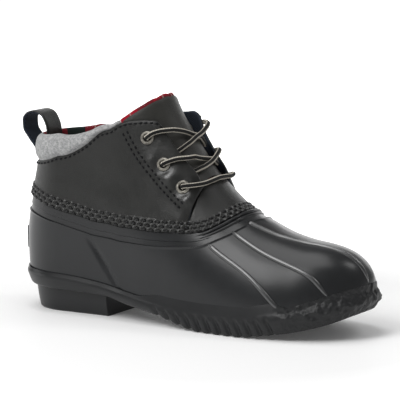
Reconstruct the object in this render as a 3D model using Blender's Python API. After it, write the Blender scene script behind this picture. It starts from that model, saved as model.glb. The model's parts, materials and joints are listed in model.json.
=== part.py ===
"""Ankle-high rubber and leather duck boot for the right foot, built piece by piece.

Metres. +X runs to the toe, +Y to the inner side of the foot, +Z up.
The origin is on the ground under the middle of the heel.
Every wall piece is laid out on one last. A place on the last is given by its
station (distance along X, negative behind the heel centre) and its arch angle
(0 at the feather line above the sole, 90 degrees on the ridge of the instep).
"""
import math

import bmesh
import bpy
import numpy as np

# The last
LAST_TIP = 0.2385
HEEL_REACH = 0.036
HEEL_ROUNDNESS = 2.15
TOE_ROUND_FROM = 0.145
TOE_ROUNDNESS = 2.4
TOE_FALL_FROM = 0.188
TOE_FALL = 3.0
ARCH_WIDTH_POWER = 2.3
ARCH_HEIGHT_POWER = 2.2

# Columns: station, feather height, outer half width, inner half width, ridge height, centre line
LAST_SECTIONS = [
    [0.000, 0.025, 0.0345, 0.0345, 0.330, 0.000],
    [0.030, 0.024, 0.0350, 0.0335, 0.300, 0.001],
    [0.055, 0.020, 0.0375, 0.0335, 0.220, 0.002],
    [0.075, 0.017, 0.0410, 0.0365, 0.164, 0.003],
    [0.095, 0.014, 0.0440, 0.0405, 0.130, 0.004],
    [0.115, 0.012, 0.0460, 0.0440, 0.103, 0.004],
    [0.135, 0.012, 0.0475, 0.0455, 0.0855, 0.004],
    [0.150, 0.012, 0.0480, 0.0455, 0.0775, 0.004],
    [0.173, 0.012, 0.0485, 0.0450, 0.0683, 0.004],
    [0.195, 0.015, 0.0480, 0.0440, 0.0640, 0.005],
    [0.2385, 0.024, 0.0470, 0.0430, 0.0620, 0.006],
]
# Columns: height, reach of the back of the heel behind the origin
HEEL_BACK = [
    [0.020, 0.0358],
    [0.034, 0.0394],
    [0.055, 0.0402],
    [0.072, 0.0384],
    [0.084, 0.0358],
    [0.096, 0.0324],
    [0.110, 0.0298],
    [0.125, 0.0291],
    [0.160, 0.0291],
]
# Columns: height, share of the half width left by the ankle
ANKLE_WAIST = [
    [0.000, 1.000],
    [0.050, 1.000],
    [0.075, 0.985],
    [0.100, 0.950],
    [0.125, 0.930],
    [0.160, 0.930],
]

# Guide lines on the last. Columns: place along the line, station, height
OVER_RIDGE = 1.0
FEATHER_LINE = [
    [0, -0.036, 0.0],
    [1, -0.020, 0.0],
    [2, 0.002, 0.0],
    [3, 0.027, 0.0],
    [4, 0.052, 0.0],
    [5, 0.0755, 0.0],
    [6, 0.095, 0.0],
    [7, 0.111, 0.0],
    [8, 0.125, 0.0],
    [9, 0.138, 0.0],
    [10, 0.150, 0.0],
    [11, 0.160, 0.0],
    [12, 0.168, 0.0],
]
BAND_LINE = [
    [0, -0.036, 0.0735],
    [1, -0.021, 0.0712],
    [2, 0.002, 0.0662],
    [3, 0.0285, 0.0605],
    [4, 0.053, 0.0580],
    [5, 0.0752, 0.0573],
    [6, 0.094, 0.0577],
    [7, 0.110, 0.0588],
    [8, 0.1226, 0.0607],
    [9, 0.133, 0.0652],
    [10, 0.143, 0.0705],
    [11, 0.1490, 0.0752],
    [12, 0.1515, OVER_RIDGE],
]
RIM_LINE = [
    [0, -0.036, 0.0852],
    [1, -0.020, 0.0818],
    [2, 0.004, 0.0755],
    [3, 0.0285, 0.0708],
    [4, 0.052, 0.0685],
    [5, 0.0746, 0.0675],
    [6, 0.092, 0.0675],
    [7, 0.106, 0.0680],
    [8, 0.118, 0.0690],
    [9, 0.128, 0.0725],
    [10, 0.1353, 0.0775],
    [11, 0.1390, 0.0808],
    [12, 0.1403, OVER_RIDGE],
]
TUCK_LINE = [
    [0, -0.036, 0.0932],
    [1, -0.019, 0.0898],
    [2, 0.005, 0.0835],
    [3, 0.029, 0.0788],
    [4, 0.052, 0.0765],
    [5, 0.074, 0.0755],
    [6, 0.090, 0.0755],
    [7, 0.1035, 0.0760],
    [8, 0.1145, 0.0770],
    [9, 0.1225, 0.0795],
    [10, 0.1278, 0.0838],
    [11, 0.1310, 0.0866],
    [12, 0.1322, OVER_RIDGE],
]
QUARTER_TOP = [
    [0, -0.036, 0.1090],
    [1, -0.020, 0.1105],
    [2, 0.002, 0.1158],
    [3, 0.0225, 0.1246],
    [4, 0.0425, 0.1372],
    [4.5, 0.0513, 0.1425],
    [5.0, 0.0620, 0.1450],
    [5.5, 0.0710, 0.1450],
    [5.8, 0.0765, 0.1435],
    [6.0, 0.0800, 0.1395],
    [6.3, 0.0862, 0.1305],
    [6.7, 0.0965, 0.1175],
    [7.0, 0.1052, 0.1080],
    [7.3, 0.1133, 0.0988],
]
VAMP_BACK = [
    [7.3, 0.1133, 0.0988],
    [9, 0.1131, 0.1022],
    [12, 0.1128, OVER_RIDGE],
]
COLLAR_LOW = [
    [0, -0.036, 0.0980],
    [1, -0.020, 0.0995],
    [2, 0.002, 0.1050],
    [3, 0.0225, 0.1140],
    [4, 0.0400, 0.1270],
    [4.5, 0.0490, 0.1350],
]
COLLAR_TOP = [
    [0, -0.036, 0.1290],
    [1, -0.020, 0.1298],
    [2, 0.0040, 0.1320],
    [3, 0.0248, 0.1371],
    [4, 0.0425, 0.1425],
    [4.5, 0.0500, 0.1446],
]
TONGUE_LOW = [
    [0, 0.0980, 0.0860],
    [0.8, 0.1070, 0.0925],
    [1.3, 0.1118, 0.0975],
    [1.8, 0.1124, 0.1000],
    [3, 0.1124, OVER_RIDGE],
]
TONGUE_TOP = [
    [0, 0.0530, 0.1440],
    [0.6, 0.0585, 0.1482],
    [1.2, 0.0645, 0.1524],
    [1.7, 0.0688, 0.1554],
    [2.3, 0.0725, 0.1584],
    [2.7, 0.0750, 0.1600],
    [3, 0.0766, OVER_RIDGE],
]

# Wall offsets from the last, outward positive
SHELL_WALL = 0.0030
SHELL_BAND_DEPTH = 0.0006
SHELL_LIP = 0.0020
TUCK_SIDE = -0.0013
TUCK_VAMP = -0.0023
QUARTER_OUT = 0.0010
QUARTER_IN = -0.0010
VAMP_OUT = -0.0002
VAMP_IN = -0.0020
TONGUE_OUT = -0.0013
TONGUE_IN = -0.0032
COLLAR_OUT = -0.0013
COLLAR_IN = -0.0052
BADGE_OUT = 0.0015
FIT_GAP = 0.0003
VAMP_FROM = 7.3
# Columns: station, how far the flap's front edge stands off on the outer and inner side
FLAP_LIFT = [
    [0.050, 0.0000, 0.0000],
    [0.064, 0.0018, 0.0070],
    [0.077, 0.0038, 0.0120],
    [0.088, 0.0042, 0.0082],
    [0.098, 0.0041, 0.0048],
    [0.105, 0.0040, 0.0038],
    [0.1133, 0.0006, 0.0008],
    [0.118, 0.0000, 0.0000],
]
FLAP_LIFT_ANGLES = (36.0, 68.0)

# Columns: station, ground side height, widest height, rim height, low overhang, wide overhang
SOLE_SECTIONS = [
    [-0.036, 0.0182, 0.0260, 0.0305, 0.0000, 0.0024],
    [0.005, 0.0176, 0.0248, 0.0292, 0.0008, 0.0034],
    [0.040, 0.0165, 0.0215, 0.0258, 0.0010, 0.0034],
    [0.060, 0.0125, 0.0175, 0.0222, 0.0008, 0.0030],
    [0.085, 0.0085, 0.0130, 0.0185, 0.0010, 0.0032],
    [0.100, 0.0050, 0.0105, 0.0165, 0.0014, 0.0036],
    [0.115, 0.0015, 0.0095, 0.0158, 0.0018, 0.0040],
    [0.127, 0.0000, 0.0092, 0.0155, 0.0020, 0.0042],
    [0.158, 0.0000, 0.0095, 0.0160, 0.0020, 0.0042],
    [0.175, 0.0022, 0.0120, 0.0190, 0.0018, 0.0042],
    [0.195, 0.0055, 0.0155, 0.0240, 0.0014, 0.0043],
    [0.212, 0.0095, 0.0195, 0.0305, 0.0008, 0.0046],
    [0.228, 0.0145, 0.0245, 0.0365, -0.0010, 0.0030],
    [0.2385, 0.0190, 0.0285, 0.0400, -0.0036, 0.0024],
]
TOE_SHOULDER_STATIONS = (0.195, 0.232)
TOE_SHOULDER_DROPS = (0.0016, 0.0060)
TOOTH_PITCH = 0.0084
TOOTH_FROM = 0.0840
TOOTH_COUNT = 13
TOOTH_DEPTH = 0.0014
TREAD_DEPTH = 0.0028
HEEL_FRONT = 0.040
HEEL_OUTLINE_HEIGHT = 0.026
# Columns: share of the block's height, inset from the last's outline
HEEL_STEPS = [
    [0.00, 0.0076],
    [0.08, 0.0066],
    [0.85, 0.0044],
    [1.00, 0.0042],
]
INSOLE_INSET = 0.0040
INSOLE_THICK = 0.0030

# Eyelets. Columns: station, height
EYELET_PLACES = [
    [0.0724, 0.1328],
    [0.0862, 0.1144],
    [0.1019, 0.0988],
]
EYELET_BORE = 0.0026
EYELET_BARREL = 0.0032
EYELET_FLANGE = 0.0050
EYELET_HOLE = 0.0035
EYELET_SIDES = 12

LACE_RADIUS = 0.0017
# Heights above the flap at which a lace leaves an eyelet
LACE_RISE = (-0.0006, 0.0014, 0.0036)
# Lace runs between eyelets.
# Columns: side (-1 outer, 1 inner), station, arch angle, lift above the last
LACE_BAR = [
    [-1, 0.1057, 56.0, 0.0066],
    [-1, 0.1098, 62.0, 0.0064],
    [-1, 0.1122, 67.0, 0.0054],
    [-1, 0.1135, 72.0, 0.0038],
    [-1, 0.1148, 80.0, 0.0027],
    [-1, 0.1152, 88.0, 0.0025],
    [1, 0.1148, 80.0, 0.0027],
    [1, 0.1132, 72.0, 0.0042],
    [1, 0.1112, 67.0, 0.0060],
    [1, 0.1088, 62.0, 0.0070],
    [1, 0.1053, 56.0, 0.0070],
]
# A strand leaves an eyelet on its outside, crosses the tongue and slips under the other flap
LOW_FROM_OUTER = [
    [-1, 0.0894, 53.0, 0.0066],
    [-1, 0.0943, 60.0, 0.0070],
    [-1, 0.0980, 66.0, 0.0070],
    [-1, 0.1001, 72.0, 0.0050],
    [-1, 0.1027, 80.0, 0.0026],
    [-1, 0.1043, 88.0, 0.0018],
    [1, 0.1047, 82.0, 0.0014],
    [1, 0.1044, 75.0, 0.0008],
    [1, 0.1040, 70.0, 0.0007],
]
LOW_FROM_INNER = [
    [1, 0.0894, 53.0, 0.0088],
    [1, 0.0932, 60.0, 0.0092],
    [1, 0.0966, 67.0, 0.0090],
    [1, 0.1003, 74.0, 0.0073],
    [1, 0.1041, 82.0, 0.0042],
    [-1, 0.1069, 88.0, 0.0032],
    [-1, 0.1072, 82.0, 0.0027],
    [-1, 0.1060, 74.0, 0.0010],
    [-1, 0.1046, 68.5, 0.0006],
    [-1, 0.1038, 66.5, 0.0006],
]
HIGH_FROM_OUTER = [
    [-1, 0.0758, 53.0, 0.0066],
    [-1, 0.0805, 60.0, 0.0070],
    [-1, 0.0843, 66.0, 0.0071],
    [-1, 0.0873, 72.0, 0.0050],
    [-1, 0.0903, 80.0, 0.0026],
    [-1, 0.0928, 88.0, 0.0018],
    [1, 0.0936, 82.0, 0.0014],
    [1, 0.0936, 75.0, 0.0008],
    [1, 0.0930, 68.0, 0.0007],
    [1, 0.0922, 64.0, 0.0007],
]
HIGH_FROM_INNER = [
    [1, 0.0765, 54.0, 0.0122],
    [1, 0.0812, 61.0, 0.0128],
    [1, 0.0856, 68.0, 0.0118],
    [1, 0.0890, 74.0, 0.0082],
    [1, 0.0926, 82.0, 0.0046],
    [-1, 0.0947, 88.0, 0.0033],
    [-1, 0.0952, 82.0, 0.0027],
    [-1, 0.0946, 74.0, 0.0013],
    [-1, 0.0934, 68.0, 0.0008],
    [-1, 0.0920, 63.5, 0.0008],
]

# Ribs over the toe of the shell. Columns: station, arch angle
RIB_LOW = [
    [0.1300, 37.5],
    [0.1500, 33.0],
    [0.1710, 22.5],
    [0.1860, 8.5],
]
RIB_HIGH = [
    [0.1440, 56.0],
    [0.1705, 53.0],
    [0.1920, 45.0],
    [0.2070, 36.0],
    [0.2185, 19.0],
]
RIB_CENTRE = [
    [0.1520, 75.0],
    [0.1750, 79.0],
    [0.2000, 82.0],
    [0.2200, 83.0],
    [0.2310, 82.0],
    [0.2352, 80.0],
    [0.2374, 76.0],
]
RIB_RADIUS = 0.0013
RIB_LIFT = -0.0004

# Pull loop centre line behind the collar. Columns: station, height
LOOP_LINE = [
    [-0.0320, 0.1115],
    [-0.0340, 0.1165],
    [-0.0400, 0.1240],
    [-0.0446, 0.1310],
    [-0.0450, 0.1370],
    [-0.0414, 0.1418],
    [-0.0352, 0.1434],
    [-0.0290, 0.1420],
    [-0.0248, 0.1375],
    [-0.0226, 0.1320],
    [-0.0219, 0.1260],
    [-0.0218, 0.1200],
]
LOOP_WIDTH = 0.0155
LOOP_THICK = 0.0020
BADGE_HALF_WIDTH = 0.0135
BADGE_HEIGHTS = (0.0420, 0.0590)

WELD = 0.00002
TURN = math.radians(1.0)


def follow(rows, column, at):
    """Read one column of a table with a smooth curve that never overshoots its rows."""
    table = np.asarray(rows, float)
    xs = table[:, 0]
    ys = table[:, column]
    at = np.clip(np.asarray(at, float), xs[0], xs[-1])
    step = np.diff(xs)
    slope = np.diff(ys) / step
    bend = np.zeros_like(ys)
    bend[0] = slope[0]
    bend[-1] = slope[-1]
    for i in range(1, len(xs) - 1):
        if slope[i - 1] * slope[i] > 0:
            near = 2 * step[i] + step[i - 1]
            far = step[i] + 2 * step[i - 1]
            bend[i] = (near + far) / (near / slope[i - 1] + far / slope[i])
    i = np.clip(np.searchsorted(xs, at, side="right") - 1, 0, len(xs) - 2)
    t = (at - xs[i]) / step[i]
    start = (1 + 2 * t) * (1 - t) ** 2 * ys[i] + t * (1 - t) ** 2 * step[i] * bend[i]
    end = t * t * (3 - 2 * t) * ys[i + 1] + t * t * (t - 1) * step[i] * bend[i + 1]
    return start + end


def section(station):
    """Feather height, both half widths, ridge height and centre line of a section."""
    x = np.maximum(np.asarray(station, float), 0.0)
    feather, outer, inner, ridge, centre = (follow(LAST_SECTIONS, k, x) for k in range(1, 6))
    t = np.clip((x - TOE_ROUND_FROM) / (LAST_TIP - TOE_ROUND_FROM), 0, 1)
    narrow = (1 - t ** TOE_ROUNDNESS) ** (1 / TOE_ROUNDNESS)
    t = np.clip((x - TOE_FALL_FROM) / (LAST_TIP - TOE_FALL_FROM), 0, 1)
    ridge = feather + (ridge - feather) * (1 - t ** TOE_FALL) ** (1 / TOE_FALL)
    return feather, outer * narrow, inner * narrow, ridge, centre


def arch_angle(station, height):
    """Arch angle in degrees at which a section reaches a height."""
    feather, _, _, ridge, _ = section(station)
    t = np.clip((height - feather) / np.maximum(ridge - feather, 1e-9), 0, 1)
    return np.degrees(np.arcsin(t ** (ARCH_HEIGHT_POWER / 2)))


def skin(station, angle, side):
    """Points of the last's surface; side is -1 for the outer and 1 for the inner half."""
    station, angle, side = np.broadcast_arrays(
        np.asarray(station, float), np.asarray(angle, float), np.asarray(side, float))
    feather, outer, inner, ridge, centre = section(station)
    turn = np.radians(np.clip(angle, 0, 90))
    rise = np.sin(turn) ** (2 / ARCH_HEIGHT_POWER)
    reach = np.clip(np.cos(turn), 0, 1) ** (2 / ARCH_WIDTH_POWER)
    z = feather + (ridge - feather) * rise
    half = np.where(side < 0, outer, inner) * reach * follow(ANKLE_WAIST, 1, z)
    back = np.clip(-station / HEEL_REACH, 0, 1)
    around = (1 - back ** HEEL_ROUNDNESS) ** (1 / HEEL_ROUNDNESS)
    x = np.where(station < 0, -follow(HEEL_BACK, 1, z) * back, station)
    return np.stack([x, centre + side * half * around, z], -1)


def guide(rows, places):
    """Station and arch angle along a guide line."""
    table = np.asarray(rows, float)
    angles = np.column_stack([table[:, 0], table[:, 1], arch_angle(table[:, 1], table[:, 2])])
    return np.column_stack([follow(angles, 1, places), follow(angles, 2, places)])


def blend(first, second, share):
    """Line between two guide lines."""
    return first + (second - first) * share


def flap_lift(station, angle, side):
    """How far the lacing flap stands off the last."""
    low, high = FLAP_LIFT_ANGLES
    t = np.clip((angle - low) / (high - low), 0, 1)
    swell = t * t * (3 - 2 * t)
    column = np.where(np.asarray(side) < 0, follow(FLAP_LIFT, 1, station), follow(FLAP_LIFT, 2, station))
    return column * swell


class Patch:
    """A net of points on one half of the last with an outer and an inner offset for each."""

    def __init__(self, lines, side):
        net = np.stack(lines, 1)
        self.station = net[..., 0]
        self.angle = net[..., 1]
        self.side = side
        self.points = skin(self.station, self.angle, side)
        self.out = np.zeros(self.station.shape)
        self.inn = np.zeros(self.station.shape)

    def offsets(self, out, inn):
        """Set both offsets and give the patch back."""
        self.out = np.broadcast_to(out, self.station.shape).astype(float)
        self.inn = np.broadcast_to(inn, self.station.shape).astype(float)
        return self


def net_faces(columns, rows, start, flip):
    """Quads of a net whose points are stored column by column."""
    faces = []
    for i in range(columns - 1):
        for j in range(rows - 1):
            a = start + i * rows + j
            face = [a, a + rows, a + rows + 1, a + 1]
            faces.append(face[::-1] if flip else face)
    return faces


def weld_nets(nets):
    """Join nets of points, given as (points, flip), where they share points."""
    points = []
    faces = []
    start = 0
    for net, flip in nets:
        columns, rows = net.shape[:2]
        points.append(net.reshape(-1, 3))
        faces += net_faces(columns, rows, start, flip)
        start += columns * rows
    points = np.concatenate(points)
    keys = np.round(points / WELD).astype(int)
    _, first, index = np.unique(keys, axis=0, return_index=True, return_inverse=True)
    index = index.reshape(-1)
    joined = []
    for face in faces:
        corners = []
        for corner in index[face]:
            if corner not in corners:
                corners.append(int(corner))
        if len(corners) > 2:
            joined.append(corners)
    return points[first], joined, index


def point_normals(points, faces):
    """Unit normals at the points of a net, weighted by face size."""
    normals = np.zeros_like(points)
    for face in faces:
        ring = points[face]
        normal = np.zeros(3)
        for i in range(1, len(face) - 1):
            normal += np.cross(ring[i] - ring[0], ring[i + 1] - ring[0])
        normals[face] += normal
    return normals / np.maximum(np.linalg.norm(normals, axis=1), 1e-12)[:, None]


def border_edges(faces):
    """Edges that belong to one face only, in the direction that face walks them."""
    walked = {}
    for face in faces:
        for a, b in zip(face, face[1:] + face[:1]):
            walked[(a, b)] = True
    return [edge for edge in walked if (edge[1], edge[0]) not in walked]


def wall(patches):
    """Closed wall between the outer and inner offsets of a set of patches."""
    points, faces, index = weld_nets([(patch.points, patch.side > 0) for patch in patches])
    normals = point_normals(points, faces)
    count = np.bincount(index)
    out = np.bincount(index, np.concatenate([patch.out.ravel() for patch in patches])) / count
    inn = np.bincount(index, np.concatenate([patch.inn.ravel() for patch in patches])) / count
    total = len(points)
    both = np.concatenate([points + normals * out[:, None], points + normals * inn[:, None]])
    closed = list(faces)
    closed += [[corner + total for corner in face[::-1]] for face in faces]
    closed += [[b, a, a + total, b + total] for a, b in border_edges(faces)]
    return both, closed


def make_object(name, points, faces, collection, finish):
    """Blender object from points and faces, cleaned and turned outward."""
    mesh = bpy.data.meshes.new(name)
    mesh.from_pydata([tuple(point) for point in points], [], faces)
    shell = bmesh.new()
    shell.from_mesh(mesh)
    bmesh.ops.remove_doubles(shell, verts=shell.verts, dist=WELD)
    loose = [vert for vert in shell.verts if not vert.link_faces]
    bmesh.ops.delete(shell, geom=loose, context="VERTS")
    bmesh.ops.recalc_face_normals(shell, faces=shell.faces)
    shell.to_mesh(mesh)
    shell.free()
    item = bpy.data.objects.new(name, mesh)
    collection.objects.link(item)
    if finish is not None:
        mesh.materials.append(finish)
    return item


def make_finish(name, colour, roughness, metallic=0.0):
    """Plain material for one kind of stuff."""
    finish = bpy.data.materials.new(name)
    finish.use_nodes = True
    shader = finish.node_tree.nodes["Principled BSDF"]
    shader.inputs["Base Color"].default_value = (*colour, 1.0)
    shader.inputs["Roughness"].default_value = roughness
    shader.inputs["Metallic"].default_value = metallic
    finish.diffuse_color = (*colour, 1.0)
    return finish


def bare_mesh(item):
    """Turn an object with modifiers or a curve into a plain mesh object."""
    graph = bpy.context.evaluated_depsgraph_get()
    mesh = bpy.data.meshes.new_from_object(item.evaluated_get(graph))
    plain = bpy.data.objects.new(item.name + "_plain", mesh)
    for collection in item.users_collection:
        collection.objects.link(plain)
    name = item.name
    bpy.data.objects.remove(item)
    plain.name = name
    return plain


def combine(base, others, operation):
    """Cut others out of base or join them to it, then keep the plain mesh."""
    for other in others:
        modifier = base.modifiers.new(other.name, "BOOLEAN")
        modifier.operation = operation
        modifier.solver = "EXACT"
        modifier.object = other
    base = bare_mesh(base)
    for other in others:
        bpy.data.objects.remove(other)
    mesh = base.data
    cleaned = bmesh.new()
    cleaned.from_mesh(mesh)
    bmesh.ops.remove_doubles(cleaned, verts=cleaned.verts, dist=WELD)
    cleaned.to_mesh(mesh)
    cleaned.free()
    return base


def tube(name, line, radius, collection, finish):
    """Round cord along a line of points, with closed ends."""
    curve = bpy.data.curves.new(name, "CURVE")
    curve.dimensions = "3D"
    curve.bevel_depth = radius
    curve.bevel_resolution = 1
    curve.use_fill_caps = True
    spline = curve.splines.new("POLY")
    spline.points.add(len(line) - 1)
    for point, place in zip(spline.points, line):
        point.co = (*place, 1.0)
    item = bpy.data.objects.new(name, curve)
    collection.objects.link(item)
    item = bare_mesh(item)
    mesh = item.data
    closed = bmesh.new()
    closed.from_mesh(mesh)
    bmesh.ops.remove_doubles(closed, verts=closed.verts, dist=WELD)
    bmesh.ops.recalc_face_normals(closed, faces=closed.faces)
    closed.to_mesh(mesh)
    closed.free()
    mesh.materials.clear()
    if finish is not None:
        mesh.materials.append(finish)
    return item


def skin_normal(station, angle, side):
    """Outward direction of the last's surface."""
    along = skin(station + 0.001, angle, side) - skin(station - 0.001, angle, side)
    across = skin(station, angle + 2.0, side) - skin(station, angle - 2.0, side)
    normal = np.cross(along, across) * -side
    return normal / np.linalg.norm(normal)


def above(station, angle, side, lift):
    """Point at a lift above the last."""
    return skin(station, angle, side) + skin_normal(station, angle, side) * lift


def smooth_line(points, count):
    """Evenly spread points on a smooth curve through the given ones."""
    points = np.asarray(points, float)
    run = np.concatenate([[0.0], np.cumsum(np.linalg.norm(np.diff(points, axis=0), axis=1))])
    at = np.linspace(0, run[-1], count)
    return np.column_stack([follow(np.column_stack([run, points]), k, at) for k in (1, 2, 3)])


def heel_stations(count):
    """Stations around the back of the heel, spread by angle."""
    turn = np.linspace(0, math.pi / 2, count)
    return -HEEL_REACH * np.cos(turn) ** (2 / HEEL_ROUNDNESS)


def toe_share(count):
    """Shares of the way to the toe tip, closer together near the tip."""
    return 1 - (1 - np.linspace(0, 1, count)) ** 1.9


def rim_places():
    """Places along the rim guide: by angle round the heel, even after it."""
    heel = np.interp(heel_stations(6), [row[1] for row in RIM_LINE[:4]], [0, 1, 2, 3])
    return np.unique(np.round(np.concatenate([heel, np.linspace(2.2, 12, 22)]), 4))


def build_shell(collection, finish):
    """Rubber bottom: tall wall round the foot with a sunk band, a lip over the vamp and ribs."""
    places = rim_places()
    feather = guide(FEATHER_LINE, places)
    band = guide(BAND_LINE, places)
    rim = guide(RIM_LINE, places)
    tuck = guide(TUCK_LINE, places)
    feather_lift = FIT_GAP / 0.060
    shares = np.array([feather_lift, 0.20, 0.46, 0.74, 0.985, 1.0])
    wall_lines = [blend(feather, band, share) for share in shares]
    band_shares = [0.35, 0.70, 0.78, 0.90, 0.985]
    band_lines = [blend(band, rim, share) for share in band_shares]
    lines = wall_lines + band_lines + [rim, tuck]
    vamp = np.clip((places - 7.9) / 1.1, 0, 1)
    vamp = vamp * vamp * (3 - 2 * vamp)
    sunk = -SHELL_BAND_DEPTH
    lip = [0.0, 0.0, 0.90, 1.0, 0.80]
    tuck_out = np.interp(places, [6.9, 7.2], [TUCK_SIDE, TUCK_VAMP])
    out = [0 * places] * 5 + [0 * places + sunk]
    out += [sunk + vamp * share * (SHELL_LIP - sunk) for share in lip]
    out += [tuck_out, tuck_out]
    thin = -SHELL_WALL + (tuck_out - TUCK_SIDE)
    inn = [0 * places - SHELL_WALL] * 11 + [thin, thin]
    front = toe_share(13)
    lower = np.column_stack([feather[-1, 0] + (LAST_TIP - feather[-1, 0]) * front, 0 * front])
    upper = np.column_stack([band[-1, 0] + (LAST_TIP - band[-1, 0]) * front, 0 * front + 90])
    front_lines = [blend(lower, upper, share) for share in shares]
    patches = []
    for side in (-1, 1):
        patches.append(Patch(lines, side).offsets(np.stack(out, 1), np.stack(inn, 1)))
        patches.append(Patch(front_lines, side).offsets(0.0, -SHELL_WALL))
    shell = make_object("rubber_shell", *wall(patches), collection, finish)
    ribs = []
    for number, (rows, side) in enumerate(
            [(RIB_LOW, -1), (RIB_HIGH, -1), (RIB_CENTRE, -1), (RIB_HIGH, 1), (RIB_LOW, 1)]):
        line = [above(station, angle, side, RIB_LIFT) for station, angle in rows]
        ribs.append(tube("rib_%d" % number, smooth_line(line, 11), RIB_RADIUS, collection, None))
    return combine(shell, ribs, "UNION")


def build_upper(collection, finish):
    """Leather quarters and vamp as one hollow wall, stepped where the quarters lie on the vamp."""
    places = rim_places()
    quarter = np.concatenate([places[places < VAMP_FROM - 0.1], [VAMP_FROM - 0.06, VAMP_FROM]])
    vamp = np.concatenate([[VAMP_FROM + 0.05], places[places > VAMP_FROM + 0.2]])
    both = np.concatenate([quarter, vamp])
    low = blend(guide(RIM_LINE, both), guide(TUCK_LINE, both), 0.045)
    top = np.concatenate([guide(QUARTER_TOP, quarter), guide(VAMP_BACK, vamp)])
    lines = [blend(low, top, share) for share in (0, 0.14, 0.30, 0.46, 0.62, 0.76, 0.89, 1.0)]
    patches = []
    for side in (-1, 1):
        patch = Patch(lines, side)
        on_quarter = (both <= VAMP_FROM)[:, None]
        lift = np.where(on_quarter, flap_lift(patch.station, patch.angle, side), 0.0)
        out = np.where(on_quarter, QUARTER_OUT, VAMP_OUT) + lift
        inn = np.where(on_quarter, QUARTER_IN, VAMP_IN) + lift
        patches.append(patch.offsets(out, inn))
    upper = make_object("upper", *wall(patches), collection, finish)
    holes = []
    for side in (-1, 1):
        for number in range(len(EYELET_PLACES)):
            centre, axis = eyelet_seat(number, side)
            holes.append(round_bar("hole", centre - axis * 0.006, centre + axis * 0.006, EYELET_HOLE,
                                   EYELET_SIDES, collection))
    return combine(upper, holes, "DIFFERENCE")


def flap_point(station, angle, side):
    """Point of the flap's outer face."""
    lift = float(flap_lift(station, angle, side)) + QUARTER_OUT
    return above(station, angle, side, lift)


def eyelet_seat(number, side):
    """Centre on the flap's outer face and outward axis of one eyelet."""
    station, height = EYELET_PLACES[number]
    angle = float(arch_angle(station, height))
    along = flap_point(station + 0.004, angle, side) - flap_point(station - 0.004, angle, side)
    across = flap_point(station, angle + 4.0, side) - flap_point(station, angle - 4.0, side)
    axis = np.cross(along, across) * -side
    return flap_point(station, angle, side), axis / np.linalg.norm(axis)


def frame_about(axis):
    """Two directions square to an axis."""
    first = np.cross(axis, [0.0, 0.0, 1.0])
    first /= np.linalg.norm(first)
    return first, np.cross(axis, first)


def round_bar(name, start, end, radius, sides, collection):
    """Straight round bar between two points."""
    axis = (end - start) / np.linalg.norm(end - start)
    first, second = frame_about(axis)
    turn = np.linspace(0, 2 * math.pi, sides, endpoint=False)
    ring = np.outer(np.cos(turn), first) + np.outer(np.sin(turn), second)
    points = np.concatenate([start + ring * radius, end + ring * radius])
    faces = [[i, (i + 1) % sides, (i + 1) % sides + sides, i + sides] for i in range(sides)]
    faces += [list(range(sides))[::-1], [i + sides for i in range(sides)]]
    return make_object(name, points, faces, collection, None)


def build_eyelet(name, number, side, collection, finish):
    """Flanged metal ring turned about its own axis and seated in the flap."""
    centre, axis = eyelet_seat(number, side)
    first, second = frame_about(axis)
    profile = [
        (EYELET_BORE, -0.0021),
        (EYELET_BORE, 0.0008),
        (EYELET_BORE + 0.0007, 0.0012),
        (EYELET_FLANGE - 0.0008, 0.0011),
        (EYELET_FLANGE, 0.0007),
        (EYELET_FLANGE, 0.0005),
        (EYELET_BARREL, 0.0005),
        (EYELET_BARREL, -0.0021),
    ]
    rings = len(profile)
    points = []
    for step in range(EYELET_SIDES):
        turn = 2 * math.pi * step / EYELET_SIDES
        out = first * math.cos(turn) + second * math.sin(turn)
        points += [centre + out * radius + axis * height for radius, height in profile]
    faces = []
    for step in range(EYELET_SIDES):
        after = (step + 1) % EYELET_SIDES
        for i in range(rings):
            j = (i + 1) % rings
            faces.append([step * rings + i, step * rings + j, after * rings + j, after * rings + i])
    return make_object(name, points, faces, collection, finish)


def build_tongue(collection, finish):
    """Wide leather tongue that wraps the front of the ankle under the quarters."""
    places = np.concatenate([np.linspace(0, 2.2, 7), np.linspace(2.5, 3, 4)])
    low = guide(TONGUE_LOW, places)
    top = guide(TONGUE_TOP, places)
    lines = [blend(low, top, share) for share in np.linspace(0, 1, 8)]
    patches = [Patch(lines, side).offsets(TONGUE_OUT, TONGUE_IN) for side in (-1, 1)]
    return make_object("tongue", *wall(patches), collection, finish)


def build_collar(collection, finish):
    """Padded felt cuff standing inside and above the leather around the back of the ankle."""
    places = np.concatenate([np.interp(heel_stations(6), [-0.036, -0.020, 0.002], [0, 1, 2]),
                             np.linspace(2.3, 4.5, 8)])
    places[0] = 0.0
    low = guide(COLLAR_LOW, places)
    line = guide(QUARTER_TOP, places)
    top = guide(COLLAR_TOP, places)
    lines = [low, blend(line, top, 0.07), blend(line, top, 0.20), blend(line, top, 0.45),
             blend(line, top, 0.80), top]
    out = np.array([COLLAR_OUT, COLLAR_OUT, -0.0004, 0.0006, 0.0000, -0.0022])
    inn = np.array([COLLAR_IN + 0.0015, COLLAR_IN, COLLAR_IN, COLLAR_IN, COLLAR_IN + 0.0006, -0.0038])
    fade = np.interp(places, [3.4, 4.5], [1.0, 0.0])[:, None]
    out = COLLAR_OUT + (out - COLLAR_OUT) * fade
    inn = np.minimum(inn + (1 - fade) * 0.0012, out - 0.0010)
    patches = [Patch(lines, side).offsets(out, inn) for side in (-1, 1)]
    return make_object("collar", *wall(patches), collection, finish)


def outline(stations, height_angle, side):
    """Outline points of the last at one arch angle."""
    return skin(stations, np.full(len(stations), height_angle), side)


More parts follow.
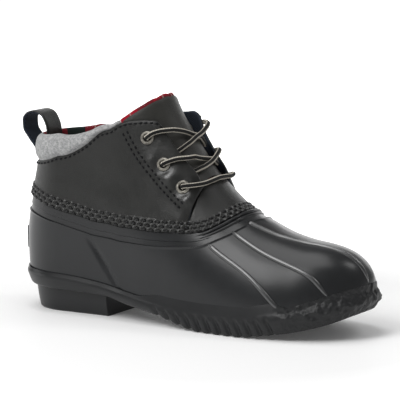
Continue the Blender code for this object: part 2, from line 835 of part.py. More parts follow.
def plan_normals(outer, inner):
    """Outward plan directions for the two halves of an outline that meet at both ends."""
    ring = np.concatenate([outer, inner[-2:0:-1]])[:, :2]
    ahead = np.roll(ring, -1, axis=0) - np.roll(ring, 1, axis=0)
    out = np.column_stack([ahead[:, 1], -ahead[:, 0], np.zeros(len(ring))])
    out /= np.linalg.norm(out, axis=1)[:, None]
    count = len(outer)
    inner_out = np.concatenate([out[:1], out[count - 1:][::-1]])
    return out[:count], inner_out[:len(inner)]


def stacked(outer_net, inner_net, open_front):
    """Close two facing side nets with a floor, a lid and, if open, a front."""
    nets = [(outer_net, False), (inner_net, True)]
    nets.append((np.stack([outer_net[:, 0], inner_net[:, 0]], 1), True))
    nets.append((np.stack([outer_net[:, -1], inner_net[:, -1]], 1), False))
    if open_front:
        nets.append((np.stack([outer_net[-1], inner_net[-1]], 0), False))
    points, faces, _ = weld_nets(nets)
    return points, faces


def sole_stations():
    """Stations of the sole with four to each tooth, and whether each lies in a groove."""
    heel = heel_stations(8)[:-1]
    waist = np.linspace(0.0, TOOTH_FROM - 0.010, 6)
    shares = np.array([0.0, 0.50, 0.62, 0.88])
    teeth = (TOOTH_FROM + TOOTH_PITCH * (np.arange(TOOTH_COUNT)[:, None] + shares)).ravel()
    groove = np.tile([False, False, True, True], TOOTH_COUNT)
    front = teeth[-1] + (LAST_TIP - teeth[-1]) * toe_share(11)[1:]
    stations = np.concatenate([heel, waist, teeth, front])
    sunk = np.concatenate([np.zeros(len(heel) + len(waist), bool), groove, np.zeros(len(front), bool)])
    return stations, sunk


def build_sole(collection, finish):
    """Outsole plate with a rounded rim, toe spring, side teeth and cross lugs."""
    stations, sunk = sole_stations()
    outer = outline(stations, 0.0, -1)
    inner = outline(stations, 0.0, 1)
    outer_out, inner_out = plan_normals(outer, inner)
    ground, widest, rim, low, wide = (follow(SOLE_SECTIONS, k, stations) for k in range(1, 6))
    feather = section(stations)[0]
    depth = np.where(sunk, TOOTH_DEPTH, 0.0)
    tread = np.where(sunk, TREAD_DEPTH, 0.0)
    middle = (ground + widest) / 2
    shoulder = np.interp(stations, TOE_SHOULDER_STATIONS, TOE_SHOULDER_DROPS)
    rows = [
        (low - depth - 0.0008, ground + tread),
        (low - depth, ground + tread * 0.6 + 0.0010),
        ((low + wide) / 2 - depth, middle),
        (wide - depth, widest),
        (wide - 0.0006, rim - shoulder),
        (np.maximum(wide - 0.0022, 0.0012), rim),
        (0 * rim + FIT_GAP + 0.0001, rim),
        (0 * rim + FIT_GAP + 0.0001, feather),
    ]
    nets = []
    for side, out in ((-1, outer_out), (1, inner_out)):
        columns = []
        for reach, height in rows:
            angle = np.where(stations < 0, arch_angle(stations, height), 0.0)
            place = skin(stations, angle, side) + out * reach[:, None]
            place[:, 2] = height
            columns.append(place)
        nets.append(np.stack(columns, 1))
    return make_object("sole", *stacked(nets[0], nets[1], False), collection, finish)


def build_heel(collection, finish):
    """Heel block with a straight breast and a slight taper to the ground."""
    stations = np.concatenate([heel_stations(10), np.linspace(0.0, HEEL_FRONT, 4)[1:]])
    angle = arch_angle(np.maximum(stations, 0), HEEL_OUTLINE_HEIGHT)
    outer = skin(stations, angle, -1)
    inner = skin(stations, angle, 1)
    ring_out, _ = plan_normals(outer, inner)
    top = follow(SOLE_SECTIONS, 1, stations) - FIT_GAP
    nets = []
    for base, sign in ((outer, -1), (inner, 1)):
        out = ring_out.copy()
        out[:, 1] = sign * np.abs(out[:, 1])
        out[stations >= 0.0] = (0.0, sign, 0.0)
        columns = []
        for share, inset in HEEL_STEPS:
            place = base - out * inset
            place[:, 2] = top * share
            columns.append(place)
        nets.append(np.stack(columns, 1))
    nets[0][0, :, 1] = 0.0
    nets[1][0, :, 1] = 0.0
    nets[1][0] = nets[0][0]
    return make_object("heel", *stacked(nets[0], nets[1], True), collection, finish)


def build_insole(collection, finish):
    """Thin foot bed that lies on the outsole inside the shell."""
    reach = LAST_TIP - 0.0015
    stations = np.concatenate([heel_stations(8), np.linspace(0.0, 0.170, 12)[1:],
                               0.170 + (reach - 0.170) * toe_share(9)[1:]])
    stations = np.append(stations[:-1], LAST_TIP)
    outer = outline(stations, 0.0, -1)
    inner = outline(stations, 0.0, 1)
    outer_out, inner_out = plan_normals(outer, inner)
    feather = section(stations)[0]
    nets = []
    for base, out in ((outer, outer_out), (inner, inner_out)):
        columns = []
        for height in (FIT_GAP, FIT_GAP + INSOLE_THICK):
            place = base - out * INSOLE_INSET
            place[:, 2] = feather + height
            columns.append(place)
        nets.append(np.stack(columns, 1))
    return make_object("insole", *stacked(nets[0], nets[1], False), collection, finish)


def build_badge(collection, finish):
    """Bare raised patch at the back of the shell."""
    across = np.linspace(0, BADGE_HALF_WIDTH, 5)
    half = LAST_SECTIONS[0][2]
    stations = -HEEL_REACH * (1 - (across / half) ** HEEL_ROUNDNESS) ** (1 / HEEL_ROUNDNESS)
    lines = []
    for height in np.linspace(BADGE_HEIGHTS[0], BADGE_HEIGHTS[1], 5):
        angle = float(arch_angle(0.0, height))
        lines.append(np.column_stack([stations, np.full(len(stations), angle)]))
    patches = [Patch(lines, side).offsets(BADGE_OUT, FIT_GAP) for side in (-1, 1)]
    return make_object("heel_badge", *wall(patches), collection, finish)


def build_loop(collection, finish):
    """Pull loop: a strap bent up from the leather edge and down inside the collar."""
    line = smooth_line([(x, 0.0, z) for x, z in LOOP_LINE], 22)
    ahead = np.gradient(line, axis=0)
    out = np.column_stack([-ahead[:, 2], np.zeros(len(line)), ahead[:, 0]])
    out /= np.linalg.norm(out, axis=1)[:, None]
    half = np.array([0.0, LOOP_WIDTH / 2, 0.0])
    thick = out * (LOOP_THICK / 2)
    ring = np.stack([line + thick - half, line + thick + half, line - thick + half, line - thick - half], 1)
    points = ring.reshape(-1, 3)
    faces = []
    last = len(line) - 1
    for i in range(last):
        for j in range(4):
            k = (j + 1) % 4
            faces.append([i * 4 + j, i * 4 + k, i * 4 + 4 + k, i * 4 + 4 + j])
    faces += [[3, 2, 1, 0], [last * 4, last * 4 + 1, last * 4 + 2, last * 4 + 3]]
    return make_object("pull_loop", points, faces, collection, finish)


def leaving(number, side):
    """Points where a lace comes up through an eyelet, from the bore outward."""
    centre, axis = eyelet_seat(number, side)
    return [centre + axis * rise for rise in LACE_RISE]


def strand(rows, number):
    """Points of a lace strand that starts in the eyelet nearest its first row."""
    start = leaving(number, rows[0][0])
    return smooth_line(start + [above(station, angle, side, lift) for side, station, angle, lift in rows], 26)


def build_bar(collection, finish):
    """Straight lace across the lowest pair of eyelets."""
    number = len(EYELET_PLACES) - 1
    middle = [above(station, angle, side, lift) for side, station, angle, lift in LACE_BAR]
    line = smooth_line(leaving(number, -1) + middle + leaving(number, 1)[::-1], 34)
    return tube("lace_bar", line, LACE_RADIUS, collection, finish)


def build_crossing(name, over_rows, under_rows, number, collection, finish):
    """Two crossed strands joined where one passes over the other."""
    over = tube(name, strand(over_rows, number), LACE_RADIUS, collection, finish)
    under = tube(name + "_under", strand(under_rows, number), LACE_RADIUS, collection, finish)
    return combine(over, [under], "UNION")


def clear_scene():
    """Remove what a new Blender scene starts with."""
    for item in list(bpy.data.objects):
        bpy.data.objects.remove(item)


def main():
    """Build every piece of the boot."""
    clear_scene()
    parts = bpy.data.collections.new("duck_boot")
    bpy.context.scene.collection.children.link(parts)
    rubber = make_finish("black_rubber", (0.022, 0.023, 0.025), 0.38)
    tread = make_finish("outsole_rubber", (0.018, 0.018, 0.020), 0.60)
    leather = make_finish("black_leather", (0.030, 0.030, 0.028), 0.50)
    tongue_leather = make_finish("tongue_leather", (0.034, 0.034, 0.030), 0.46)
    felt = make_finish("grey_felt", (0.480, 0.500, 0.500), 0.95)
    bed = make_finish("insole_cloth", (0.110, 0.010, 0.020), 0.90)
    webbing = make_finish("loop_webbing", (0.016, 0.022, 0.036), 0.80)
    cord = make_finish("lace_cord", (0.160, 0.150, 0.130), 0.75)
    metal = make_finish("eyelet_metal", (0.300, 0.285, 0.260), 0.35, 1.0)
    patch = make_finish("badge_rubber", (0.012, 0.012, 0.013), 0.55)
    build_sole(parts, tread)
    build_heel(parts, tread)
    build_shell(parts, rubber)
    build_upper(parts, leather)
    build_tongue(parts, tongue_leather)
    build_insole(parts, bed)
    build_collar(parts, felt)
    build_badge(parts, patch)
    build_loop(parts, webbing)
    for side, label in ((-1, "lateral"), (1, "medial")):
        for number in range(len(EYELET_PLACES)):
            build_eyelet("eyelet_%s_%d" % (label, number + 1), number, side, parts, metal)
    build_bar(parts, cord)
    build_crossing("lace_cross_lower", LOW_FROM_INNER, LOW_FROM_OUTER, 1, parts, cord)
    build_crossing("lace_cross_upper", HIGH_FROM_INNER, HIGH_FROM_OUTER, 0, parts, cord)


main()
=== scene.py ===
"""Looks of a right-foot duck boot: rubber bottom, leather upper, felt collar and laces.

Metres. +X runs to the toe, +Y to the inner side of the foot, +Z up, and the origin
is on the ground under the middle of the heel. Every wall is laid out on one last.
A place on the last is a station (distance along X, negative behind the heel centre)
and an arch angle (0 at the feather line above the sole, 90 degrees on the ridge).
"""
import json
import logging
import math
from dataclasses import dataclass
from enum import Enum
from typing import Callable, Sequence

import bpy
import numpy as np
from mathutils import Matrix, Vector

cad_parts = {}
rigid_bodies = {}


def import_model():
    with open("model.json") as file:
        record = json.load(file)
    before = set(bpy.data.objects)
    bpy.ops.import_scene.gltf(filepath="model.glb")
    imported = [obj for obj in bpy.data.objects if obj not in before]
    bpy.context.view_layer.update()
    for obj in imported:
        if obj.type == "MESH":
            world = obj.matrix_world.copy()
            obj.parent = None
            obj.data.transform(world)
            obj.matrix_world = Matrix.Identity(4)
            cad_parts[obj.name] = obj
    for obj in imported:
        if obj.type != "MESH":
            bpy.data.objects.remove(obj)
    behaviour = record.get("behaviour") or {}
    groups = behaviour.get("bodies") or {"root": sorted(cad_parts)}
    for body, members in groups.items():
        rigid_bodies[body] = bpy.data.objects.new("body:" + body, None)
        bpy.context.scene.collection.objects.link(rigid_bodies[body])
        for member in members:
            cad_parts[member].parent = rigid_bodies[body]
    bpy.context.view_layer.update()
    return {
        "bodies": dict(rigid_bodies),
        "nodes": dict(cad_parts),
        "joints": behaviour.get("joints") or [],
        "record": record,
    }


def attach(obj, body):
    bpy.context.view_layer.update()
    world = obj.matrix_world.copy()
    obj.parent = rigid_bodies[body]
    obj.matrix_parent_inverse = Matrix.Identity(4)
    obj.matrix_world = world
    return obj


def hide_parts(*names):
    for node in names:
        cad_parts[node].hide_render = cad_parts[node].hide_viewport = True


log = logging.getLogger("duck_boot")

WELD = 0.00001
TINY = 1e-12
BODY = "root"
Rows = Sequence[Sequence[float]]
Socket = bpy.types.NodeSocket
Item = bpy.types.Object


class Side(Enum):
    """Halves of the boot."""

    OUTER = -1
    INNER = 1


class Edge(Enum):
    """Edges of a net: its first and last column, its first and last row."""

    START = 0
    END = 1
    LOW = 2
    TOP = 3


# Curves and the last


def follow(rows: Rows, column: int, at: np.ndarray) -> np.ndarray:
    """Read one column of a table with a smooth curve that never overshoots its rows.

    Args:
        rows: table whose first column rises.
        column: number of the column that is read.
        at: values of the first column to read at.

    Returns:
        The read values, in the shape of ``at``.
    """
    table = np.asarray(rows, float)
    xs = table[:, 0]
    ys = table[:, column]
    at = np.clip(np.asarray(at, float), xs[0], xs[-1])
    step = np.diff(xs)
    slope = np.diff(ys) / step
    near = 2 * step[1:] + step[:-1]
    far = step[1:] + 2 * step[:-1]
    same = slope[:-1] * slope[1:] > 0
    before = np.where(same, slope[:-1], 1.0)
    after = np.where(same, slope[1:], 1.0)
    middle = np.where(same, (near + far) / (near / before + far / after), 0.0)
    bend = np.concatenate([slope[:1], middle, slope[-1:]])
    i = np.clip(np.searchsorted(xs, at, side="right") - 1, 0, len(xs) - 2)
    t = (at - xs[i]) / step[i]
    start = (1 + 2 * t) * (1 - t) ** 2 * ys[i] + t * (1 - t) ** 2 * step[i] * bend[i]
    end = t * t * (3 - 2 * t) * ys[i + 1] + t * t * (t - 1) * step[i] * bend[i + 1]
    return start + end


def smooth_step(value: np.ndarray, low: float, high: float) -> np.ndarray:
    """Soft rise from 0 at ``low`` to 1 at ``high``."""
    t = np.clip((np.asarray(value, float) - low) / (high - low), 0, 1)
    return t * t * (3 - 2 * t)


def run_of(line: np.ndarray) -> np.ndarray:
    """Distance travelled along a line of points."""
    return np.concatenate([[0.0], np.cumsum(np.linalg.norm(np.diff(line, axis=0), axis=1))])


def smooth_line(points: np.ndarray, count: int) -> np.ndarray:
    """Evenly spread points on a smooth curve through the given ones."""
    points = np.asarray(points, float)
    run = run_of(points)
    table = np.column_stack([run, points])
    at = np.linspace(0, run[-1], count)
    return np.column_stack([follow(table, k, at) for k in range(1, points.shape[1] + 1)])


def relax(line: np.ndarray, passes: int) -> np.ndarray:
    """Smooth a line between its fixed ends."""
    for _ in range(passes):
        line[1:-1] = (line[:-2] + 2 * line[1:-1] + line[2:]) / 4
    return line


def unit(vectors: np.ndarray) -> np.ndarray:
    """Vectors brought to length one along the last axis."""
    return vectors / np.maximum(np.linalg.norm(vectors, axis=-1, keepdims=True), TINY)


@dataclass(frozen=True)
class Last:
    """The foot form that every wall is laid on."""

    tip: float = 0.2385
    heel_reach: float = 0.036
    heel_roundness: float = 2.15
    toe_round_from: float = 0.145
    toe_roundness: float = 2.4
    toe_fall_from: float = 0.188
    toe_fall: float = 3.0
    width_power: float = 2.3
    height_power: float = 2.2
    sections: tuple = (
        # station, feather height, outer half width, inner half width, ridge height, centre line
        (0.000, 0.025, 0.0345, 0.0345, 0.330, 0.000),
        (0.030, 0.024, 0.0350, 0.0335, 0.300, 0.001),
        (0.055, 0.020, 0.0375, 0.0335, 0.220, 0.002),
        (0.075, 0.017, 0.0410, 0.0365, 0.164, 0.003),
        (0.095, 0.014, 0.0440, 0.0405, 0.130, 0.004),
        (0.115, 0.012, 0.0460, 0.0440, 0.103, 0.004),
        (0.135, 0.012, 0.0475, 0.0455, 0.0855, 0.004),
        (0.150, 0.012, 0.0480, 0.0455, 0.0775, 0.004),
        (0.173, 0.012, 0.0485, 0.0450, 0.0683, 0.004),
        (0.195, 0.015, 0.0480, 0.0440, 0.0640, 0.005),
        (0.2385, 0.024, 0.0470, 0.0430, 0.0620, 0.006),
    )
    heel_back: tuple = (
        # height, reach of the back of the heel behind the origin
        (0.020, 0.0358), (0.034, 0.0394), (0.055, 0.0402), (0.072, 0.0384), (0.084, 0.0358),
        (0.096, 0.0324), (0.110, 0.0298), (0.125, 0.0291), (0.160, 0.0291),
    )
    waist: tuple = (
        # height, share of the half width left by the ankle
        (0.000, 1.000), (0.050, 1.000), (0.075, 0.985), (0.100, 0.950), (0.125, 0.930), (0.160, 0.930),
    )

    def section(self, station: np.ndarray) -> tuple:
        """Feather height, both half widths, ridge height and centre line of a section."""
        x = np.maximum(np.asarray(station, float), 0.0)
        feather, outer, inner, ridge, centre = (follow(self.sections, k, x) for k in range(1, 6))
        t = np.clip((x - self.toe_round_from) / (self.tip - self.toe_round_from), 0, 1)
        narrow = (1 - t ** self.toe_roundness) ** (1 / self.toe_roundness)
        t = np.clip((x - self.toe_fall_from) / (self.tip - self.toe_fall_from), 0, 1)
        ridge = feather + (ridge - feather) * (1 - t ** self.toe_fall) ** (1 / self.toe_fall)
        return feather, outer * narrow, inner * narrow, ridge, centre

    def arch_angle(self, station: np.ndarray, height: np.ndarray) -> np.ndarray:
        """Arch angle in degrees at which a section reaches a height."""
        feather, _, _, ridge, _ = self.section(station)
        t = np.clip((height - feather) / np.maximum(ridge - feather, 1e-9), 0, 1)
        return np.degrees(np.arcsin(t ** (self.height_power / 2)))

    def skin(self, station: np.ndarray, angle: np.ndarray, side: float) -> np.ndarray:
        """Points of the last's surface.

        Height rises with a power of the sine of the arch angle and half width falls with a
        power of its cosine; behind the heel centre the plan is a superellipse.
        """
        station, angle = np.broadcast_arrays(np.asarray(station, float), np.asarray(angle, float))
        feather, outer, inner, ridge, centre = self.section(station)
        turn = np.radians(np.clip(angle, 0, 90))
        rise = np.sin(turn) ** (2 / self.height_power)
        reach = np.where(angle >= 90, 0.0, np.clip(np.cos(turn), 0, 1) ** (2 / self.width_power))
        z = feather + (ridge - feather) * rise
        half = (outer if side < 0 else inner) * reach * follow(self.waist, 1, z)
        back = np.clip(-station / self.heel_reach, 0, 1)
        around = (1 - back ** self.heel_roundness) ** (1 / self.heel_roundness)
        x = np.where(station < 0, -follow(self.heel_back, 1, z) * back, station)
        return np.stack([x, centre + side * half * around, z], -1)

    def place(self, route: np.ndarray, side: float) -> np.ndarray:
        """Points of the surface along rows of station and arch angle."""
        return self.skin(route[..., 0], route[..., 1], side)

    def guide(self, rows: Rows, places: np.ndarray) -> np.ndarray:
        """Station and arch angle along a guide line given by place, station and height."""
        table = np.asarray(rows, float)
        angles = np.column_stack([table[:, 0], table[:, 1], self.arch_angle(table[:, 1], table[:, 2])])
        return np.column_stack([follow(angles, 1, places), follow(angles, 2, places)])

    def normal(self, station: np.ndarray, angle: np.ndarray, side: float) -> np.ndarray:
        """Outward directions of the last's surface, from differences in both directions."""
        station, angle = np.broadcast_arrays(np.asarray(station, float), np.asarray(angle, float))
        along = self.skin(station + 0.001, angle, side) - self.skin(station - 0.001, angle, side)
        across = self.skin(station, angle + 2.0, side) - self.skin(station, angle - 2.0, side)
        return unit(np.cross(along, across) * -side)

    def above(self, station: np.ndarray, angle: np.ndarray, side: float, lift: np.ndarray) -> np.ndarray:
        """Points at a lift above the last."""
        lift = np.asarray(lift, float)
        return self.skin(station, angle, side) + self.normal(station, angle, side) * lift[..., None]

    def heel_stations(self, count: int) -> np.ndarray:
        """Stations around the back of the heel, spread by angle."""
        turn = np.linspace(0, math.pi / 2, count)
        return -self.heel_reach * np.cos(turn) ** (2 / self.heel_roundness)


LAST = Last()

# Guide lines on the last: place along the line, station, height
OVER_RIDGE = 1.0
FEATHER_LINE = (
    (0, -0.036, 0), (1, -0.020, 0), (2, 0.002, 0), (3, 0.027, 0), (4, 0.052, 0), (5, 0.0755, 0),
    (6, 0.095, 0), (7, 0.111, 0), (8, 0.125, 0), (9, 0.138, 0), (10, 0.150, 0), (11, 0.160, 0),
    (12, 0.168, 0),
)
BAND_LINE = (
    (0, -0.036, 0.0735), (1, -0.021, 0.0712), (2, 0.002, 0.0662), (3, 0.0285, 0.0605), (4, 0.053, 0.0580),
    (5, 0.0752, 0.0573), (6, 0.094, 0.0577), (7, 0.110, 0.0588), (8, 0.1226, 0.0607), (9, 0.133, 0.0652),
    (10, 0.143, 0.0705), (11, 0.1490, 0.0752), (12, 0.1515, OVER_RIDGE),
)
RIM_LINE = (
    (0, -0.036, 0.0852), (1, -0.020, 0.0818), (2, 0.004, 0.0755), (3, 0.0285, 0.0708), (4, 0.052, 0.0685),
    (5, 0.0746, 0.0675), (6, 0.092, 0.0675), (7, 0.106, 0.0680), (8, 0.118, 0.0690), (9, 0.128, 0.0725),
    (10, 0.1353, 0.0775), (11, 0.1390, 0.0808), (12, 0.1403, OVER_RIDGE),
)
TUCK_LINE = (
    (0, -0.036, 0.0932), (1, -0.019, 0.0898), (2, 0.005, 0.0835), (3, 0.029, 0.0788), (4, 0.052, 0.0765),
    (5, 0.074, 0.0755), (6, 0.090, 0.0755), (7, 0.1035, 0.0760), (8, 0.1145, 0.0770), (9, 0.1225, 0.0795),
    (10, 0.1278, 0.0838), (11, 0.1310, 0.0866), (12, 0.1322, OVER_RIDGE),
)
QUARTER_TOP = (
    (0, -0.036, 0.1090), (1, -0.020, 0.1105), (2, 0.002, 0.1158), (3, 0.0225, 0.1246), (4, 0.0425, 0.1372),
    (4.5, 0.0513, 0.1425), (5.0, 0.0620, 0.1450), (5.5, 0.0710, 0.1450), (5.8, 0.0765, 0.1435),
    (6.0, 0.0800, 0.1395), (6.3, 0.0862, 0.1305), (6.7, 0.0965, 0.1175), (7.0, 0.1052, 0.1080),
    (7.3, 0.1133, 0.0988),
)
VAMP_BACK = ((7.3, 0.1133, 0.0988), (9, 0.1131, 0.1022), (12, 0.1128, OVER_RIDGE))
COLLAR_LOW = (
    (0, -0.036, 0.0980), (1, -0.020, 0.0995), (2, 0.002, 0.1050), (3, 0.0225, 0.1140), (4, 0.0400, 0.1270),
    (4.5, 0.0490, 0.1350),
)
COLLAR_TOP = (
    (0, -0.036, 0.1290), (1, -0.020, 0.1298), (2, 0.0040, 0.1320), (3, 0.0248, 0.1371), (4, 0.0425, 0.1425),
    (4.5, 0.0500, 0.1446),
)
TONGUE_LOW = (
    (0, 0.0980, 0.0860), (0.8, 0.1070, 0.0925), (1.3, 0.1118, 0.0975), (1.8, 0.1124, 0.1000),
    (3, 0.1124, OVER_RIDGE),
)
TONGUE_TOP = (
    (0, 0.0530, 0.1440), (0.6, 0.0585, 0.1482), (1.2, 0.0645, 0.1524), (1.7, 0.0688, 0.1554),
    (2.3, 0.0725, 0.1584), (2.7, 0.0750, 0.1600), (3, 0.0766, OVER_RIDGE),
)
# Station, how far the flap's front edge stands off on the outer and on the inner side
FLAP_LIFT = (
    (0.050, 0.0, 0.0), (0.064, 0.0018, 0.0064), (0.077, 0.0038, 0.0110), (0.088, 0.0042, 0.0064),
    (0.098, 0.0041, 0.0043), (0.105, 0.0040, 0.0037), (0.1133, 0.0006, 0.0008), (0.118, 0.0, 0.0),
)
FLAP_LIFT_ANGLES = (36.0, 68.0)
VAMP_FROM = 7.3
RIDGE_PLACE = 12.0
QUARTER_OUT = 0.0010
VAMP_OUT = -0.0002


def flap_lift(station: np.ndarray, angle: np.ndarray, side: float) -> np.ndarray:
    """How far the lacing flap stands off the last."""
    column = 1 if side < 0 else 2
    return follow(FLAP_LIFT, column, station) * smooth_step(angle, *FLAP_LIFT_ANGLES)


def blend(first: np.ndarray, second: np.ndarray, share: float) -> np.ndarray:
    """Line between two guide lines."""
    return first + (second - first) * share


def places_of(count: int, last_place: float) -> np.ndarray:
    """Places along the rim guide: by angle round the heel, even after it."""
    around = LAST.heel_stations(24)
    heel = np.interp(around, [row[1] for row in RIM_LINE[:4]], [0, 1, 2, 3])
    return np.concatenate([heel, np.linspace(heel[-1], last_place, count + 1)[1:]])


def lattice_noise(points: np.ndarray, scale: float, seed: int) -> np.ndarray:
    """Smooth noise from -1 to 1: random values on a cubic lattice, blended between its corners.

    Args:
        points: places to read, in metres, with the coordinates last.
        scale: lattice spacing in metres.
        seed: seed of the random values.

    Returns:
        One value for each point.
    """
    table = np.random.default_rng(seed).uniform(-1, 1, (32, 32, 32))
    at = np.asarray(points) / scale + 500.0
    low = np.floor(at).astype(int)
    t = at - low
    t = t * t * (3 - 2 * t)
    total = 0.0
    for corner in range(8):
        step = np.array([corner & 1, corner >> 1 & 1, corner >> 2])
        place = (low + step) % 32
        weight = np.prod(np.where(step, t, 1 - t), axis=-1)
        total = total + weight * table[place[..., 0], place[..., 1], place[..., 2]]
    return total


def line_distance(points: np.ndarray, line: np.ndarray) -> np.ndarray:
    """Distance from each point to the nearest piece of a line of points."""
    flat = points.reshape(-1, 3)
    best = np.full(len(flat), np.inf)
    for a, b in zip(line[:-1], line[1:]):
        edge = b - a
        t = np.clip((flat - a) @ edge / (edge @ edge), 0, 1)
        best = np.minimum(best, np.linalg.norm(flat - a - t[:, None] * edge, axis=1))
    return best.reshape(points.shape[:-1])


def trough(points: np.ndarray, line: np.ndarray, width: float, depth: float) -> np.ndarray:
    """Soft fold: a bell across the line whose height fades towards its ends."""
    flat = points.reshape(-1, 3)
    axis = line[-1] - line[0]
    along = np.clip((flat - line[0]) @ axis / (axis @ axis), 0, 1).reshape(points.shape[:-1])
    fade = np.sin(np.pi * along) ** 0.6
    return depth * fade * np.exp(-(line_distance(points, line) / width) ** 2)


# Meshes

# Direction that the first turn of a tube faces at mid length, which is where its UV starts
TUBE_FACING = (0.5, -0.85, 0.17)
# Along one stitch: share of the half length, share of the radius, rise in radii
STITCH_SHAPE = (
    (-1.0, 0.05, -1.1), (-0.86, 0.62, -0.35), (-0.45, 0.95, 0.05), (0.0, 1.0, 0.2),
    (0.45, 0.95, 0.05), (0.86, 0.62, -0.35), (1.0, 0.05, -1.1),
)
STITCH_SIDES = 8


@dataclass
class Net:
    """Grid of points, column by column, with what lies on it."""

    points: np.ndarray
    out: np.ndarray
    inn: np.ndarray
    uv: np.ndarray
    flip: bool = False
    skip: np.ndarray | None = None
    places: np.ndarray | None = None

    @staticmethod
    def plain(points: np.ndarray, flip: bool = False) -> "Net":
        """Net without thickness, with its UV in metres of run and height."""
        flat = np.zeros(points.shape[:2])
        return Net(points, flat, flat, Net.run_uv(points), flip)

    @staticmethod
    def on_last(lines: Sequence[np.ndarray], side: Side) -> "Net":
        """Net between guide lines on one half of the last."""
        grid = np.stack(lines, 1)
        net = Net.plain(LAST.place(grid, side.value), side is Side.INNER)
        net.places = grid
        return net

    @staticmethod
    def run_uv(points: np.ndarray) -> np.ndarray:
        """UV in metres: run along the columns at mid height, and run up each column."""
        along = run_of(points[:, points.shape[1] // 2])
        up = np.linalg.norm(np.diff(points, axis=1), axis=2)
        up = np.concatenate([np.zeros((len(points), 1)), np.cumsum(up, axis=1)], axis=1)
        return np.stack([np.broadcast_to(along[:, None], up.shape), up], -1)

    def edge_gap(self, *edges: Edge) -> np.ndarray:
        """Distance over the surface to the nearest of the chosen edges."""
        along = np.linalg.norm(np.diff(self.points, axis=0), axis=2)
        run = np.concatenate([np.zeros((1, self.points.shape[1])), np.cumsum(along, axis=0)])
        up = self.uv[..., 1]
        gaps = (run, run[-1:] - run, up, up[:, -1:] - up)
        return np.min([gaps[edge.value] for edge in edges], axis=0)


def quads_of(columns: int, rows: int, start: int = 0, flip: bool = False) -> np.ndarray:
    """Corner numbers of a grid's faces."""
    i, j = np.meshgrid(np.arange(columns - 1), np.arange(rows - 1), indexing="ij")
    a = (start + i * rows + j).ravel()
    corners = np.stack([a, a + rows, a + rows + 1, a + 1], 1)
    return corners[:, ::-1] if flip else corners


def quads_round(columns: int, rows: int, ring: bool = False) -> np.ndarray:
    """Corner numbers of a grid whose rows, and with ``ring`` its columns too, close on themselves."""
    i, j = np.divmod(quads_of(columns + ring, rows + 1), rows + 1)
    return i % columns * rows + j % rows


def new_item(name: str, data: bpy.types.ID) -> Item:
    """New object with its data, linked to the scene."""
    item = bpy.data.objects.new(name, data)
    bpy.context.scene.collection.objects.link(item)
    return item


def fill_mesh(name: str, points: np.ndarray, faces: np.ndarray, uv: np.ndarray,
              slots: np.ndarray | int = 0, sharp: float = 50.0) -> Item:
    """Put arrays of points and four-cornered faces into a mesh object.

    A corner that repeats the next one is dropped, so a face at a pole becomes a triangle.

    Args:
        name: the piece's name.
        points: (n, 3) places.
        faces: (m, 4) point numbers.
        uv: (m, 4, 2) coordinates of each corner.
        slots: material number of each face.
        sharp: angle in degrees over which an edge stays sharp.

    Returns:
        The new object, linked to the scene.
    """
    keep = faces != np.roll(faces, -1, axis=1)
    keep &= (keep.sum(1) > 2)[:, None]
    counts = keep.sum(1)
    whole = counts > 2
    loops = faces[keep]
    mesh = bpy.data.meshes.new(name)
    mesh.vertices.add(len(points))
    mesh.vertices.foreach_set("co", np.ascontiguousarray(points, np.float32).ravel())
    mesh.loops.add(len(loops))
    mesh.loops.foreach_set("vertex_index", loops.astype(np.int32))
    mesh.polygons.add(int(whole.sum()))
    starts = np.concatenate([[0], np.cumsum(counts[whole])[:-1]])
    mesh.polygons.foreach_set("loop_start", starts.astype(np.int32))
    numbers = np.broadcast_to(slots, (len(faces),))[whole]
    mesh.polygons.foreach_set("material_index", numbers.astype(np.int32))
    layer = mesh.uv_layers.new(name="UVMap")
    layer.data.foreach_set("uv", np.ascontiguousarray(uv[keep], np.float32).ravel())
    mesh.update(calc_edges=True)
    mesh.validate()
    mesh.polygons.foreach_set("use_smooth", np.ones(len(mesh.polygons), bool))
    mesh.set_sharp_from_angle(angle=math.radians(sharp))
    return new_item(name, mesh)


def weld(nets: list) -> tuple:
    """Join nets where they share points.

    Args:
        nets: nets whose faces go into one mesh.

    Returns:
        Welded points, faces by welded number, faces by first number, and welded number of each point.
    """
    points = np.concatenate([net.points.reshape(-1, 3) for net in nets])
    faces = []
    start = 0
    for net in nets:
        columns, rows = net.points.shape[:2]
        quads = quads_of(columns, rows, start, net.flip)
        faces.append(quads if net.skip is None else quads[~net.skip.ravel()])
        start += columns * rows
    faces = np.concatenate(faces)
    _, first, index = np.unique(np.round(points / WELD).astype(np.int64), axis=0,
                                return_index=True, return_inverse=True)
    index = index.reshape(-1)
    return points[first], index[faces], faces, index


def closed_arrays(nets: list) -> tuple:
    """Welded points, faces and corner UV of nets that close on each other."""
    points, faces, raw, _ = weld(nets)
    return points, faces, np.concatenate([net.uv.reshape(-1, 2) for net in nets])[raw]


def normals_of(points: np.ndarray, faces: np.ndarray) -> np.ndarray:
    """Unit normals of points, from the diagonals of the faces round them."""
    ring = points[faces]
    cross = np.cross(ring[:, 2] - ring[:, 0], ring[:, 3] - ring[:, 1])
    normals = np.zeros_like(points)
    for corner in range(4):
        np.add.at(normals, faces[:, corner], cross)
    return unit(normals)


